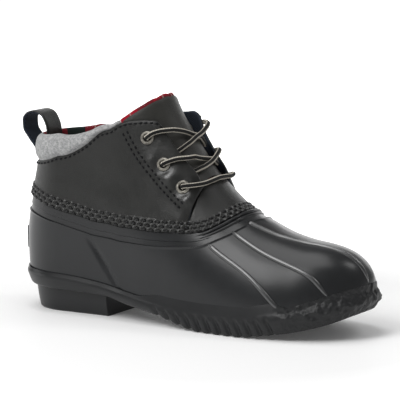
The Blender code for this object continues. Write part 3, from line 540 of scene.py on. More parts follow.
def wall(name: str, nets: list, sharp: float, inner_slot: int) -> Item:
    """Closed wall between the outer and inner offsets of nets.

    Args:
        name: the piece's name.
        nets: nets that are welded where they meet.
        sharp: angle in degrees over which an edge stays sharp.
        inner_slot: material number of the inner faces.

    Returns:
        The new object, with a rim along every open border.
    """
    points, faces, raw, index = weld(nets)
    normals = normals_of(points, faces)
    count = np.bincount(index)
    out = np.bincount(index, np.concatenate([net.out.ravel() for net in nets])) / count
    inn = np.bincount(index, np.concatenate([net.inn.ravel() for net in nets])) / count
    uv = np.concatenate([net.uv.reshape(-1, 2) for net in nets])[raw]
    total = len(points)
    both = np.concatenate([points + normals * out[:, None], points + normals * inn[:, None]])
    start = faces.ravel()
    end = np.roll(faces, -1, axis=1).ravel()
    edge_uv = np.stack([uv.reshape(-1, 2), np.roll(uv, -1, axis=1).reshape(-1, 2)], 1)
    border = ~np.isin(start * total + end, end * total + start) & (start != end)
    a, b = start[border], end[border]
    rim = np.stack([b, a, a + total, b + total], 1)
    every = np.concatenate([faces, faces[:, ::-1] + total, rim])
    every_uv = np.concatenate([uv, uv[:, ::-1], edge_uv[border][:, [1, 0, 0, 1]]])
    slots = np.repeat([0, inner_slot, 0], [len(faces), len(faces), len(rim)])
    return fill_mesh(name, both, every, every_uv, slots, sharp)


def rounded(gap: np.ndarray, radius: float) -> np.ndarray:
    """Share of the full thickness left near an edge that is rounded over."""
    t = 1 - np.clip(gap / radius, 0, 1)
    return np.sqrt(np.maximum(1 - t * t, 0.0025))


def frames_along(line: np.ndarray) -> tuple:
    """Two steady cross directions along a line; the first turns to the front at mid length."""
    ahead = unit(np.gradient(line, axis=0))
    sides = np.empty_like(ahead)
    middle = len(line) // 2
    for steps in (range(middle, len(line)), range(middle, -1, -1)):
        side = np.array(TUBE_FACING)
        for step in steps:
            side = unit(side - ahead[step] * (side @ ahead[step]))
            sides[step] = side
    return sides, np.cross(ahead, sides)


def tube_arrays(line: np.ndarray, radius: np.ndarray | float, sides: int) -> tuple:
    """Round tube along a line with domed ends: points, faces and corner UV in turns and metres."""
    radius = np.broadcast_to(np.asarray(radius, float), (len(line),)).copy()
    radius[[0, -1]] *= 0.02
    first, second = frames_along(line)
    turn = np.linspace(0, 2 * math.pi, sides + 1)
    ring = np.cos(turn)[None, :, None] * first[:, None] + np.sin(turn)[None, :, None] * second[:, None]
    points = line[:, None] + ring * radius[:, None, None]
    uv = np.stack(np.broadcast_arrays(turn[None] / (2 * math.pi), run_of(line)[:, None]), -1)
    corner_uv = uv.reshape(-1, 2)[quads_of(len(line), sides + 1)]
    return points[:, :-1].reshape(-1, 3), quads_round(len(line), sides), corner_uv


def join_arrays(parts: list) -> tuple:
    """Put several (points, faces, uv) sets into one."""
    starts = np.concatenate([[0], np.cumsum([len(part[0]) for part in parts])[:-1]])
    points = np.concatenate([part[0] for part in parts])
    faces = np.concatenate([part[1] + start for part, start in zip(parts, starts)])
    return points, faces, np.concatenate([part[2] for part in parts])


def corner_numbers(quads: np.ndarray, rows: int) -> np.ndarray:
    """Column and row of each face's first corner, for all four of its corners."""
    return np.repeat(np.stack(np.divmod(quads[:, :1], rows), -1), 4, axis=1)


def lathe_arrays(profile: Rows, sides: int, centre: np.ndarray, axis: np.ndarray) -> tuple:
    """Ring turned about an axis from a closed profile of (radius, height) points."""
    first = unit(np.cross(axis, [0.0, 0.0, 1.0]))
    second = np.cross(axis, first)
    radius, height = np.asarray(profile, float).T
    turn = np.linspace(0, 2 * math.pi, sides, endpoint=False)
    out = np.cos(turn)[:, None] * first + np.sin(turn)[:, None] * second
    points = centre + out[:, None] * radius[None, :, None] + axis * height[None, :, None]
    faces = quads_round(sides, len(radius), ring=True)
    return points.reshape(-1, 3), faces, corner_numbers(faces, len(radius)) * 0.01


def read_along(at: np.ndarray, run: np.ndarray, rows: np.ndarray) -> np.ndarray:
    """Rows read at distances along a run."""
    return np.column_stack([np.interp(at, run, column) for column in rows.T])


def stitch_arrays(line: np.ndarray, normals: np.ndarray, pitch: float, length: float, radius: float,
                  lean: float = 0.0, phase: float = 0.5, run: np.ndarray | None = None) -> tuple:
    """Thread bumps along a seam, each a small domed capsule half sunk in the surface.

    Args:
        line: seam points.
        normals: outward directions at those points.
        pitch: spacing of the stitches in metres.
        length: length of one stitch.
        radius: half its thickness.
        lean: turn of each stitch about the normal, in degrees.
        phase: where in its pitch each stitch lies.
        run: distances along the seam that the pitch is counted on, if not the line's own.

    Returns:
        Points, faces and corner UV.
    """
    run = run_of(line) if run is None else run
    count = max(int(run[-1] / pitch), 1)
    at = (np.arange(count) + phase) * run[-1] / count
    middle = read_along(at, run, line)
    up = unit(read_along(at, run, normals))
    ahead = read_along(at, run, np.gradient(line, run, axis=0))
    ahead = unit(ahead - up * np.sum(ahead * up, axis=1)[:, None])
    across = np.cross(up, ahead)
    cos, sin = math.cos(math.radians(lean)), math.sin(math.radians(lean))
    axes = np.stack([ahead * cos + across * sin, across * cos - ahead * sin, up], 1)
    share, swell, sink = np.array(STITCH_SHAPE).T[:, :, None]
    turn = np.linspace(0, 2 * math.pi, STITCH_SIDES, endpoint=False)
    local = np.stack(np.broadcast_arrays(share * length / 2, swell * np.cos(turn) * radius,
                                         swell * np.sin(turn) * radius + sink * radius), -1).reshape(-1, 3)
    points = middle[:, None] + np.einsum("vk,skd->svd", local, axes)
    quads = quads_round(len(STITCH_SHAPE), STITCH_SIDES)
    faces = np.roll(quads, -1, axis=1)[None] + (np.arange(count) * len(local))[:, None, None]
    uv = corner_numbers(quads, STITCH_SIDES) / (len(STITCH_SHAPE) - 1, STITCH_SIDES)
    uv = np.broadcast_to(uv[None], (count, *uv.shape))
    return points.reshape(-1, 3), faces.reshape(-1, 4), uv.reshape(-1, 4, 2)


def spline_rows(controls: np.ndarray, count: int) -> np.ndarray:
    """Rows spread along a Catmull-Rom curve through control rows (the first axis)."""
    controls = np.asarray(controls, float)
    ends = np.concatenate([2 * controls[:1] - controls[1:2], controls, 2 * controls[-1:] - controls[-2:-1]])
    at = np.linspace(0, len(controls) - 1, count)
    i = np.minimum(at.astype(int), len(controls) - 2)
    t = (at - i).reshape((-1,) + (1,) * (controls.ndim - 1))
    a, b, c, d = (ends[i + k] for k in range(4))
    return b + 0.5 * t * (c - a + t * (2 * a - 5 * b + 4 * c - d + t * (3 * (b - c) + d - a)))


# Finishes


class Graph:
    """Short hand for adding linked nodes to a node tree."""

    def __init__(self, tree: bpy.types.NodeTree) -> None:
        """Work on one node tree."""
        self.tree = tree

    def node(self, kind: str, inputs: dict | None = None, **settings: object) -> bpy.types.Node:
        """Add a node, set its properties and feed its inputs with values or sockets."""
        made = self.tree.nodes.new(kind)
        for key, value in settings.items():
            setattr(made, key, value)
        self.feed(made.inputs, inputs or {})
        return made

    def feed(self, inputs: bpy.types.bpy_prop_collection, values: dict) -> None:
        """Link inputs to other sockets, or set their own values."""
        for key, value in values.items():
            if isinstance(value, Socket):
                self.tree.links.new(value, inputs[key])
            else:
                inputs[key].default_value = value

    def math(self, operation: str, *values: object, clamp: bool = False) -> Socket:
        """Result of a maths node."""
        inputs = dict(enumerate(values))
        return self.node("ShaderNodeMath", inputs, operation=operation, use_clamp=clamp).outputs[0]

    def add(self, first: object, second: object, clamp: bool = False) -> Socket:
        """Sum of two values."""
        return self.math("ADD", first, second, clamp=clamp)

    def times(self, first: object, second: object) -> Socket:
        """Product of two values."""
        return self.math("MULTIPLY", first, second)

    def vector(self, operation: str, *values: object) -> bpy.types.bpy_prop_collection:
        """Outputs of a vector maths node."""
        return self.node("ShaderNodeVectorMath", dict(enumerate(values)), operation=operation).outputs

    def distance(self, first: object, second: object) -> Socket:
        """Distance between two places."""
        return self.vector("DISTANCE", first, second)["Value"]

    def split(self, vector: object) -> bpy.types.bpy_prop_collection:
        """The three parts of a vector."""
        return self.node("ShaderNodeSeparateXYZ", {0: vector}).outputs

    def span(self, value: object, low: float, high: float,
             to_low: float = 0.0, to_high: float = 1.0) -> Socket:
        """Value carried from one range to another, clamped; the second range is 0 to 1 if not given."""
        return self.node("ShaderNodeMapRange", {0: value, 1: low, 2: high, 3: to_low, 4: to_high}).outputs[0]

    def mix(self, share: object, first: object, second: object) -> Socket:
        """Colour between two colours."""
        return self.node("ShaderNodeMix", {0: share, 6: first, 7: second}, data_type="RGBA").outputs[2]

    def noise(self, vector: object, scale: object, detail: float = 3.0, rough: float = 0.5) -> Socket:
        """Grey value of a noise texture."""
        inputs = {"Vector": vector, "Scale": scale, "Detail": detail, "Roughness": rough}
        return self.node("ShaderNodeTexNoise", inputs).outputs[0]

    def group(self, tree: bpy.types.NodeTree, **values: object) -> bpy.types.bpy_prop_collection:
        """Outputs of a group that is fed by name."""
        return self.node("ShaderNodeGroup", values, node_tree=tree).outputs

    def place(self) -> Socket:
        """Object coordinates."""
        return self.node("ShaderNodeTexCoord").outputs["Object"]

    def uv(self) -> Socket:
        """Coordinates of the piece's own UV map."""
        return self.node("ShaderNodeUVMap", uv_map="UVMap").outputs[0]

    def bump(self, height: object, distance: float, strength: float, normal: object = None) -> Socket:
        """Normal bent by a height."""
        inputs = {"Height": height, "Distance": distance, "Strength": strength}
        if normal is not None:
            inputs["Normal"] = normal
        return self.node("ShaderNodeBump", inputs).outputs[0]


def group_of(name: str, inputs: dict, outputs: dict, wire: Callable) -> bpy.types.NodeTree:
    """Shader node group with named sockets.

    Args:
        name: group name.
        inputs: socket name to (socket type, default value or None).
        outputs: socket name to socket type.
        wire: called with the graph and the group's input sockets; gives its outputs by name.

    Returns:
        The group, built once and then found by name.
    """
    if name in bpy.data.node_groups:
        return bpy.data.node_groups[name]
    tree = bpy.data.node_groups.new(name, "ShaderNodeTree")
    for key, (kind, value) in inputs.items():
        socket = tree.interface.new_socket(key, in_out="INPUT", socket_type=kind)
        if value is not None:
            socket.default_value = value
    for key, kind in outputs.items():
        tree.interface.new_socket(key, in_out="OUTPUT", socket_type=kind)
    graph = Graph(tree)
    made = wire(graph, graph.node("NodeGroupInput").outputs)
    graph.node("NodeGroupOutput", made)
    return tree


VALUE, VECTOR = "NodeSocketFloat", "NodeSocketVector"


def grain_group() -> bpy.types.NodeTree:
    """Leather grain: small pebbles with fine creases between them and slow swells."""
    def wire(graph: Graph, sockets: object) -> dict:
        vector, scale = sockets["Vector"], sockets["Scale"]
        slow = graph.times(scale, 0.6)
        warp = graph.node("ShaderNodeTexNoise", {"Vector": vector, "Scale": slow})
        bent = graph.node("ShaderNodeVectorMath", {0: warp.outputs["Color"], 3: 0.0012}, operation="SCALE")
        moved = graph.vector("ADD", vector, bent.outputs[0])[0]
        inputs = {"Vector": moved, "Scale": scale}
        cells = graph.node("ShaderNodeTexVoronoi", inputs, feature="DISTANCE_TO_EDGE")
        pebble = graph.span(cells.outputs[0], 0.0, 0.35)
        fine = graph.noise(vector, graph.times(scale, 2.4), 4.0, 0.6)
        height = graph.add(graph.times(pebble, 0.7), graph.times(fine, 0.5))
        return {"Height": height, "Tone": graph.span(height, 0.2, 1.1)}
    return group_of("leather_grain", {"Vector": (VECTOR, None), "Scale": (VALUE, 900.0)},
                    {"Height": VALUE, "Tone": VALUE}, wire)


def patina_group() -> bpy.types.NodeTree:
    """Slow uneven bloom, as on handled rubber and leather, with a few faint rubbed streaks."""
    def wire(graph: Graph, sockets: object) -> dict:
        slow = graph.noise(sockets["Vector"], sockets["Scale"], 3.0, 0.55)
        quick = graph.noise(sockets["Vector"], graph.times(sockets["Scale"], 9.0), 4.0, 0.65)
        streak = graph.vector("MULTIPLY", sockets["Vector"], (1.0, 1.0, 7.0))[0]
        rub = graph.span(graph.noise(streak, 60.0, 5.0, 0.7), 0.60, 0.75)
        tone = graph.add(graph.times(slow, 0.7), graph.times(quick, 0.3))
        return {"Tone": graph.span(tone, 0.3, 0.7), "Rub": rub}
    return group_of("patina", {"Vector": (VECTOR, None), "Scale": (VALUE, 25.0)},
                    {"Tone": VALUE, "Rub": VALUE}, wire)


def weave_group() -> bpy.types.NodeTree:
    """Plain weave on UV in metres: threads along both directions that pass over each other."""
    def wire(graph: Graph, sockets: object) -> dict:
        parts = graph.split(sockets["Vector"])
        turns = graph.times(sockets["Threads"], 2 * math.pi)
        warp = graph.math("SINE", graph.times(parts[0], turns))
        weft = graph.math("SINE", graph.times(parts[1], turns))
        return {"Height": graph.span(graph.times(warp, weft), -1.0, 1.0)}
    return group_of("weave", {"Vector": (VECTOR, None), "Threads": (VALUE, 900.0)}, {"Height": VALUE}, wire)


def rgba(colour: tuple) -> tuple:
    """Opaque colour with its fourth value."""
    return (*colour, 1.0)


@dataclass(frozen=True)
class Finish:
    """A surface: its name, colour and gloss. Each kind of surface wires its own nodes."""

    name: str
    colour: tuple
    roughness: float
    specular: float = 0.5
    metallic: float = 0.0
    coat: float = 0.0
    coat_roughness: float = 0.3
    sheen: float = 0.0

    def build(self) -> bpy.types.Material:
        """Make the material once and find it by name after that."""
        if self.name in bpy.data.materials:
            return bpy.data.materials[self.name]
        material = bpy.data.materials.new(self.name)
        material.use_nodes = True
        graph = Graph(material.node_tree)
        shader = material.node_tree.nodes["Principled BSDF"]
        plain = {"Base Color": rgba(self.colour), "Roughness": self.roughness, "Metallic": self.metallic,
                 "Specular IOR Level": self.specular, "Coat Weight": self.coat,
                 "Coat Roughness": self.coat_roughness, "Sheen Weight": self.sheen}
        graph.feed(shader.inputs, plain)
        graph.feed(shader.inputs, self.wire(graph))
        material.diffuse_color = rgba(self.colour)
        return material

    def wire(self, graph: Graph) -> dict:
        """Sockets for the shader's inputs by name."""
        tone = graph.group(patina_group(), Vector=graph.place())
        return {"Base Color": self.shade(graph, tone["Tone"], 0.85, 1.15),
                "Roughness": self.worn(graph, tone["Tone"], 0.04, 0.04)}

    def worn(self, graph: Graph, tone: object, less: float, more: float) -> Socket:
        """Roughness a little lower or higher than the finish's own, after a tone."""
        return graph.span(tone, 0, 1, self.roughness - less, self.roughness + more)

    def shade(self, graph: Graph, share: object, low: float, high: float) -> Socket:
        """The colour between a darker and a lighter tone of itself."""
        dark, light = (rgba(tuple(min(c * scale, 1.0) for c in self.colour)) for scale in (low, high))
        return graph.mix(share, dark, light)


@dataclass(frozen=True)
class Leather(Finish):
    """Smooth oiled leather with a small grain."""

    grain: float = 950.0
    depth: float = 0.00016
    polish: tuple = ()
    polish_reach: tuple = (0.0015, 0.0080)
    polish_centre: tuple = (0.0, 0.004, 0.0)

    def shine(self, graph: Graph) -> Socket:
        """Mask of the leather that the laces rub: soft spots round the polish places, on both halves."""
        moved = graph.vector("SUBTRACT", graph.place(), self.polish_centre)[0]
        folded = graph.vector("ABSOLUTE", moved)[0]
        mask = 0.0
        for spot in self.polish:
            near = graph.span(graph.distance(folded, spot), *self.polish_reach, 1.0, 0.0)
            mask = graph.math("MAXIMUM", mask, near)
        return mask

    def wire(self, graph: Graph) -> dict:
        """Grain and slow swells in the normal, patina in colour and gloss."""
        place = graph.place()
        grain = graph.group(grain_group(), Vector=place, Scale=self.grain)
        tone = graph.group(patina_group(), Vector=place, Scale=22.0)
        slow = graph.bump(graph.noise(place, 70.0, 2.0), 0.0012, 0.25)
        normal = graph.bump(grain["Height"], self.depth, 0.55, slow)
        worn = self.worn(graph, tone["Tone"], 0.05, 0.05)
        made = {"Base Color": self.shade(graph, tone["Tone"], 0.75, 1.3), "Normal": normal,
                "Roughness": graph.add(worn, graph.times(grain["Tone"], -0.05))}
        if self.polish:
            made["Coat Weight"] = self.shine(graph)
        return made


@dataclass(frozen=True)
class Rubber(Finish):
    """Moulded rubber: fine haze, faint bloom and a few rubbed streaks."""

    haze: float = 0.00005

    def wire(self, graph: Graph) -> dict:
        """Fine haze in the normal, bloom in colour and gloss."""
        place = graph.place()
        tone = graph.group(patina_group(), Vector=place, Scale=18.0)
        fine = graph.noise(place, 1600.0, 3.0, 0.6)
        normal = graph.bump(fine, self.haze, 0.4, graph.bump(graph.noise(place, 45.0, 2.0), 0.0008, 0.15))
        rough = self.worn(graph, tone["Tone"], 0.035, 0.045)
        return {"Base Color": self.shade(graph, tone["Tone"], 0.8, 1.25), "Normal": normal,
                "Roughness": graph.add(rough, graph.times(tone["Rub"], 0.03))}


@dataclass(frozen=True)
class Tread(Rubber):
    """Outsole rubber: dull, with a rough pebbled toe guard."""

    guard_from: float = 0.188
    guard_to: float = 0.196

    def wire(self, graph: Graph) -> dict:
        """Pebble and coarse haze in the normal; the pebble is strong on the toe guard only."""
        place = graph.place()
        base = Rubber.wire(self, graph)
        parts = graph.split(place)
        guard = graph.span(parts[0], self.guard_from, self.guard_to)
        cells = graph.node("ShaderNodeTexVoronoi", {"Vector": place, "Scale": 420.0}, feature="SMOOTH_F1")
        pebble = graph.times(cells.outputs[0], graph.span(guard, 0, 1, 0.05, 1.0))
        base["Normal"] = graph.bump(pebble, 0.0009, 0.6, base["Normal"])
        base["Roughness"] = graph.add(base["Roughness"], graph.times(guard, 0.10))
        return base


@dataclass(frozen=True)
class Felt(Finish):
    """Heathered wool felt: matted fibres in light and dark flecks."""

    dark: tuple = (0.13, 0.135, 0.14)
    fibres: tuple = (
        # turn, stretch and scale of the noise
        ((0.3, 0.5, 0.9), (1.0, 0.16, 0.5), 2600.0), ((0.9, -0.4, -0.6), (0.2, 1.0, 0.6), 2200.0),
    )

    def wire(self, graph: Graph) -> dict:
        """Stretched noise in two directions makes the fibres."""
        place = graph.place()
        made = []
        for turn, stretch, scale in self.fibres:
            inputs = {"Vector": place, "Rotation": turn, "Scale": stretch}
            made.append(graph.noise(graph.node("ShaderNodeMapping", inputs).outputs[0], scale, 3.0, 0.7))
        fibre = graph.add(graph.times(made[0], 0.5), graph.times(made[1], 0.5))
        fleck = graph.span(graph.noise(place, 420.0, 5.0, 0.75), 0.40, 0.60)
        cover = graph.add(graph.times(graph.span(fibre, 0.35, 0.65), 0.55),
                          graph.times(fleck, 0.45), clamp=True)
        slow = graph.bump(graph.noise(place, 160.0, 3.0), 0.0012, 0.35)
        return {"Base Color": graph.mix(cover, rgba(self.dark), rgba(self.colour)),
                "Normal": graph.bump(fibre, 0.0005, 0.8, slow)}


@dataclass(frozen=True)
class Plaid(Finish):
    """Brushed checked lining: crimson crossed by dark green and black bands with thin pale lines."""

    band: tuple = (0.010, 0.016, 0.014)
    line: tuple = (0.55, 0.52, 0.45)
    period: float = 0.034

    def wire(self, graph: Graph) -> dict:
        """Bands in both directions of the UV darken the ground; thin lines run in them."""
        vector = graph.uv()
        parts = graph.split(vector)
        bands = []
        lines = []
        for axis in (0, 1):
            run = graph.math("FRACT", graph.math("DIVIDE", parts[axis], self.period))
            bands.append(graph.times(graph.math("GREATER_THAN", run, 0.52), 0.5))
            away = graph.math("ABSOLUTE", graph.math("SUBTRACT", run, 0.26))
            lines.append(graph.math("LESS_THAN", away, 0.018))
        dark = graph.add(bands[0], bands[1])
        pale = graph.times(graph.math("MAXIMUM", lines[0], lines[1]), 0.35)
        twill = graph.group(weave_group(), Vector=vector, Threads=1100.0)["Height"]
        ground = graph.mix(dark, rgba(self.colour), rgba(self.band))
        colour = graph.mix(pale, ground, rgba(self.line))
        nap = graph.noise(graph.place(), 1400.0, 4.0, 0.7)
        return {"Base Color": graph.mix(graph.times(nap, 0.25), colour, rgba(self.band)),
                "Normal": graph.bump(graph.add(twill, nap), 0.0003, 0.5)}


@dataclass(frozen=True)
class Webbing(Finish):
    """Ribbed woven tape."""

    def wire(self, graph: Graph) -> dict:
        """Weave on the UV in colour and normal."""
        weave = graph.group(weave_group(), Vector=graph.uv(), Threads=620.0)["Height"]
        return {"Base Color": self.shade(graph, weave, 0.55, 1.5), "Normal": graph.bump(weave, 0.0004, 0.7)}


@dataclass(frozen=True)
class LaceCord(Finish):
    """Round braided lace: black with two pale lines of small ticks along it."""

    pale: tuple = (0.60, 0.56, 0.48)
    tick: float = 0.0011
    stripes: tuple = (0.165, 0.335, 0.665, 0.835)
    half_width: float = 0.066

    def wire(self, graph: Graph) -> dict:
        """UV holds turns round the cord and metres along it; slanted sines make the braid."""
        parts = graph.split(graph.uv())
        turn, run = parts[0], parts[1]
        lean = graph.times(run, 2 * math.pi / self.tick)
        right = graph.math("SINE", graph.add(lean, graph.times(turn, 2 * math.pi * 6)))
        left = graph.math("SINE", graph.math("SUBTRACT", lean, graph.times(turn, 2 * math.pi * 6)))
        braid = graph.math("MAXIMUM", right, left)
        stripe = 0.0
        for middle in self.stripes:
            away = graph.math("ABSOLUTE", graph.math("SUBTRACT", turn, middle))
            line = graph.span(away, self.half_width * 0.7, self.half_width, 1.0, 0.0)
            stripe = graph.math("MAXIMUM", stripe, line)
        ticks = graph.span(right, -0.75, -0.2, 0.25, 1.0)
        share = graph.times(stripe, ticks)
        return {"Base Color": graph.mix(share, rgba(self.colour), rgba(self.pale)),
                "Normal": graph.bump(braid, 0.0003, 0.7)}


@dataclass(frozen=True)
class Metal(Finish):
    """Dark pewter with soft tarnish and fine scratches."""

    tarnish: tuple = (0.10, 0.095, 0.085)

    def wire(self, graph: Graph) -> dict:
        """Tarnish in colour and gloss, scratches in the normal."""
        place = graph.place()
        worn = graph.span(graph.noise(place, 380.0, 5.0, 0.65), 0.35, 0.65)
        return {"Base Color": graph.mix(worn, rgba(self.tarnish), rgba(self.colour)),
                "Roughness": self.worn(graph, worn, -0.15, 0.0),
                "Normal": graph.bump(graph.noise(place, 2500.0, 3.0), 0.00008, 0.4)}


@dataclass(frozen=True)
class Thread(Finish):
    """Waxed thread: twisted plies."""

    def wire(self, graph: Graph) -> dict:
        """Slanted ply lines on the stitch's own UV."""
        parts = graph.split(graph.uv())
        lean = graph.add(graph.times(parts[0], 26.0), graph.times(parts[1], 12.566))
        ply = graph.math("SINE", lean)
        return {"Base Color": self.shade(graph, graph.span(ply, -1, 1), 0.7, 1.3),
                "Normal": graph.bump(ply, 0.00025, 0.6)}


UPPER_LEATHER = Leather("oiled_upper", (0.0098, 0.0100, 0.0091), 0.38, specular=0.36, coat_roughness=0.26,
                        polish=((0.0905, 0.0312, 0.1078), (0.1062, 0.0318, 0.0932)))
RIM_LEATHER = Leather("glazed_rim", (0.0105, 0.0107, 0.0098), 0.33, specular=0.50)
TONGUE_LEATHER = Leather("oiled_tongue", (0.0205, 0.0202, 0.0176), 0.46, specular=0.36, grain=820.0)
SHELL_RUBBER = Rubber("moulded_rubber", (0.0105, 0.0112, 0.0122), 0.30, specular=0.40)
RIB_RUBBER = Rubber("rib_rubber", (0.0105, 0.0112, 0.0122), 0.32, specular=0.8, coat=1.0, coat_roughness=0.26)
BADGE_RUBBER = Rubber("dull_rubber", (0.0060, 0.0060, 0.0065), 0.58, specular=0.3)
SOLE_RUBBER = Tread("tread_rubber", (0.0100, 0.0105, 0.0113), 0.38, specular=0.38)
COLLAR_FELT = Felt("heathered_felt", (0.46, 0.46, 0.455), 0.95, specular=0.2, sheen=0.1)
LINING = Plaid("plaid_cloth", (0.33, 0.006, 0.022), 0.92, specular=0.2)
FLAP_LINING = Webbing("flap_cloth", (0.026, 0.033, 0.046), 0.85, specular=0.3)
LOOP_WEBBING = Webbing("navy_tape", (0.010, 0.015, 0.026), 0.80, specular=0.25)
INSOLE_CLOTH = Finish("footbed_cloth", (0.10, 0.012, 0.020), 0.92)
LACE = LaceCord("braided_cord", (0.006, 0.006, 0.006), 0.72, specular=0.25)
PEWTER = Metal("aged_pewter", (0.30, 0.285, 0.25), 0.36, metallic=1.0)
SEAM_THREAD = Thread("waxed_thread", (0.0025, 0.0025, 0.003), 0.38, specular=0.28)
FINE_THREAD = Thread("fine_thread", (0.002, 0.0022, 0.003), 0.50, specular=0.18)


# Pieces

# Shares of the way from the outer to the inner edge of the sole
ACROSS = np.linspace(0, 1, 26)
# Share of the way up the rubber wall, closer towards its top
WALL_RISE = 1 - (1 - np.linspace(0.005, 1.0, 44)) ** 1.25


def finish_piece(item: Item, finishes: Sequence[Finish], slot: str, *nodes: str) -> Item:
    """Dress a piece and let it ride on the boot's body.

    Args:
        item: the piece.
        finishes: its materials in the order of their numbers.
        slot: CAD material slot that the piece belongs to; not used.
        nodes: CAD nodes that it stands for.

    Returns:
        The same piece.
    """
    for finish in finishes:
        item.data.materials.append(finish.build())
    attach(item, BODY)
    if nodes:
        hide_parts(*nodes)
    log.info("%s: %d faces", item.name, len(item.data.polygons))
    return item


def plain_piece(name: str, parts: list, finish: Finish, slot: str, *nodes: str, sharp: float = 50.0) -> Item:
    """One piece from several sets of arrays."""
    return finish_piece(fill_mesh(name, *join_arrays(parts), 0, sharp), [finish], slot, *nodes)


def wall_piece(name: str, nets: list, finishes: Sequence[Finish], slot: str, *nodes: str,
               sharp: float = 60.0) -> Item:
    """One piece from nets; its inner faces take the second finish where there is one."""
    return finish_piece(wall(name, nets, sharp, len(finishes) - 1), finishes, slot, *nodes)


def plan_normals(outer: np.ndarray, inner: np.ndarray) -> tuple:
    """Outward plan directions of the two halves of an outline."""
    ring = np.concatenate([outer, inner[-2:0:-1]])[:, :2]
    ahead = np.roll(ring, -1, axis=0) - np.roll(ring, 1, axis=0)
    out = unit(np.column_stack([ahead[:, 1], -ahead[:, 0], np.zeros(len(ring))]))
    count = len(outer)
    return out[:count], np.concatenate([out[:1], out[count - 1:][::-1]])[:count]


def flat_net(outer: np.ndarray, inner: np.ndarray, heights: np.ndarray, flip: bool) -> Net:
    """Surface across the sole between two edges, with its height over each column."""
    share = ACROSS[None, :, None]
    points = outer[:, None] * (1 - share) + inner[:, None] * share
    points[:, 1:-1, 2] = heights[:, 1:-1]
    return Net(points, points[..., 0] * 0, points[..., 0] * 0, points[..., :2].copy(), flip)


def block_nets(left: np.ndarray, right: np.ndarray, under: np.ndarray) -> list:
    """Both sides of a block, its underside and the lid over it."""
    lid = np.repeat(left[:, -1, 2:], len(ACROSS), axis=1)
    return [Net.plain(left), Net.plain(right, True), flat_net(left[:, 0], right[:, 0], under, True),
            flat_net(left[:, -1], right[:, -1], lid, False)]


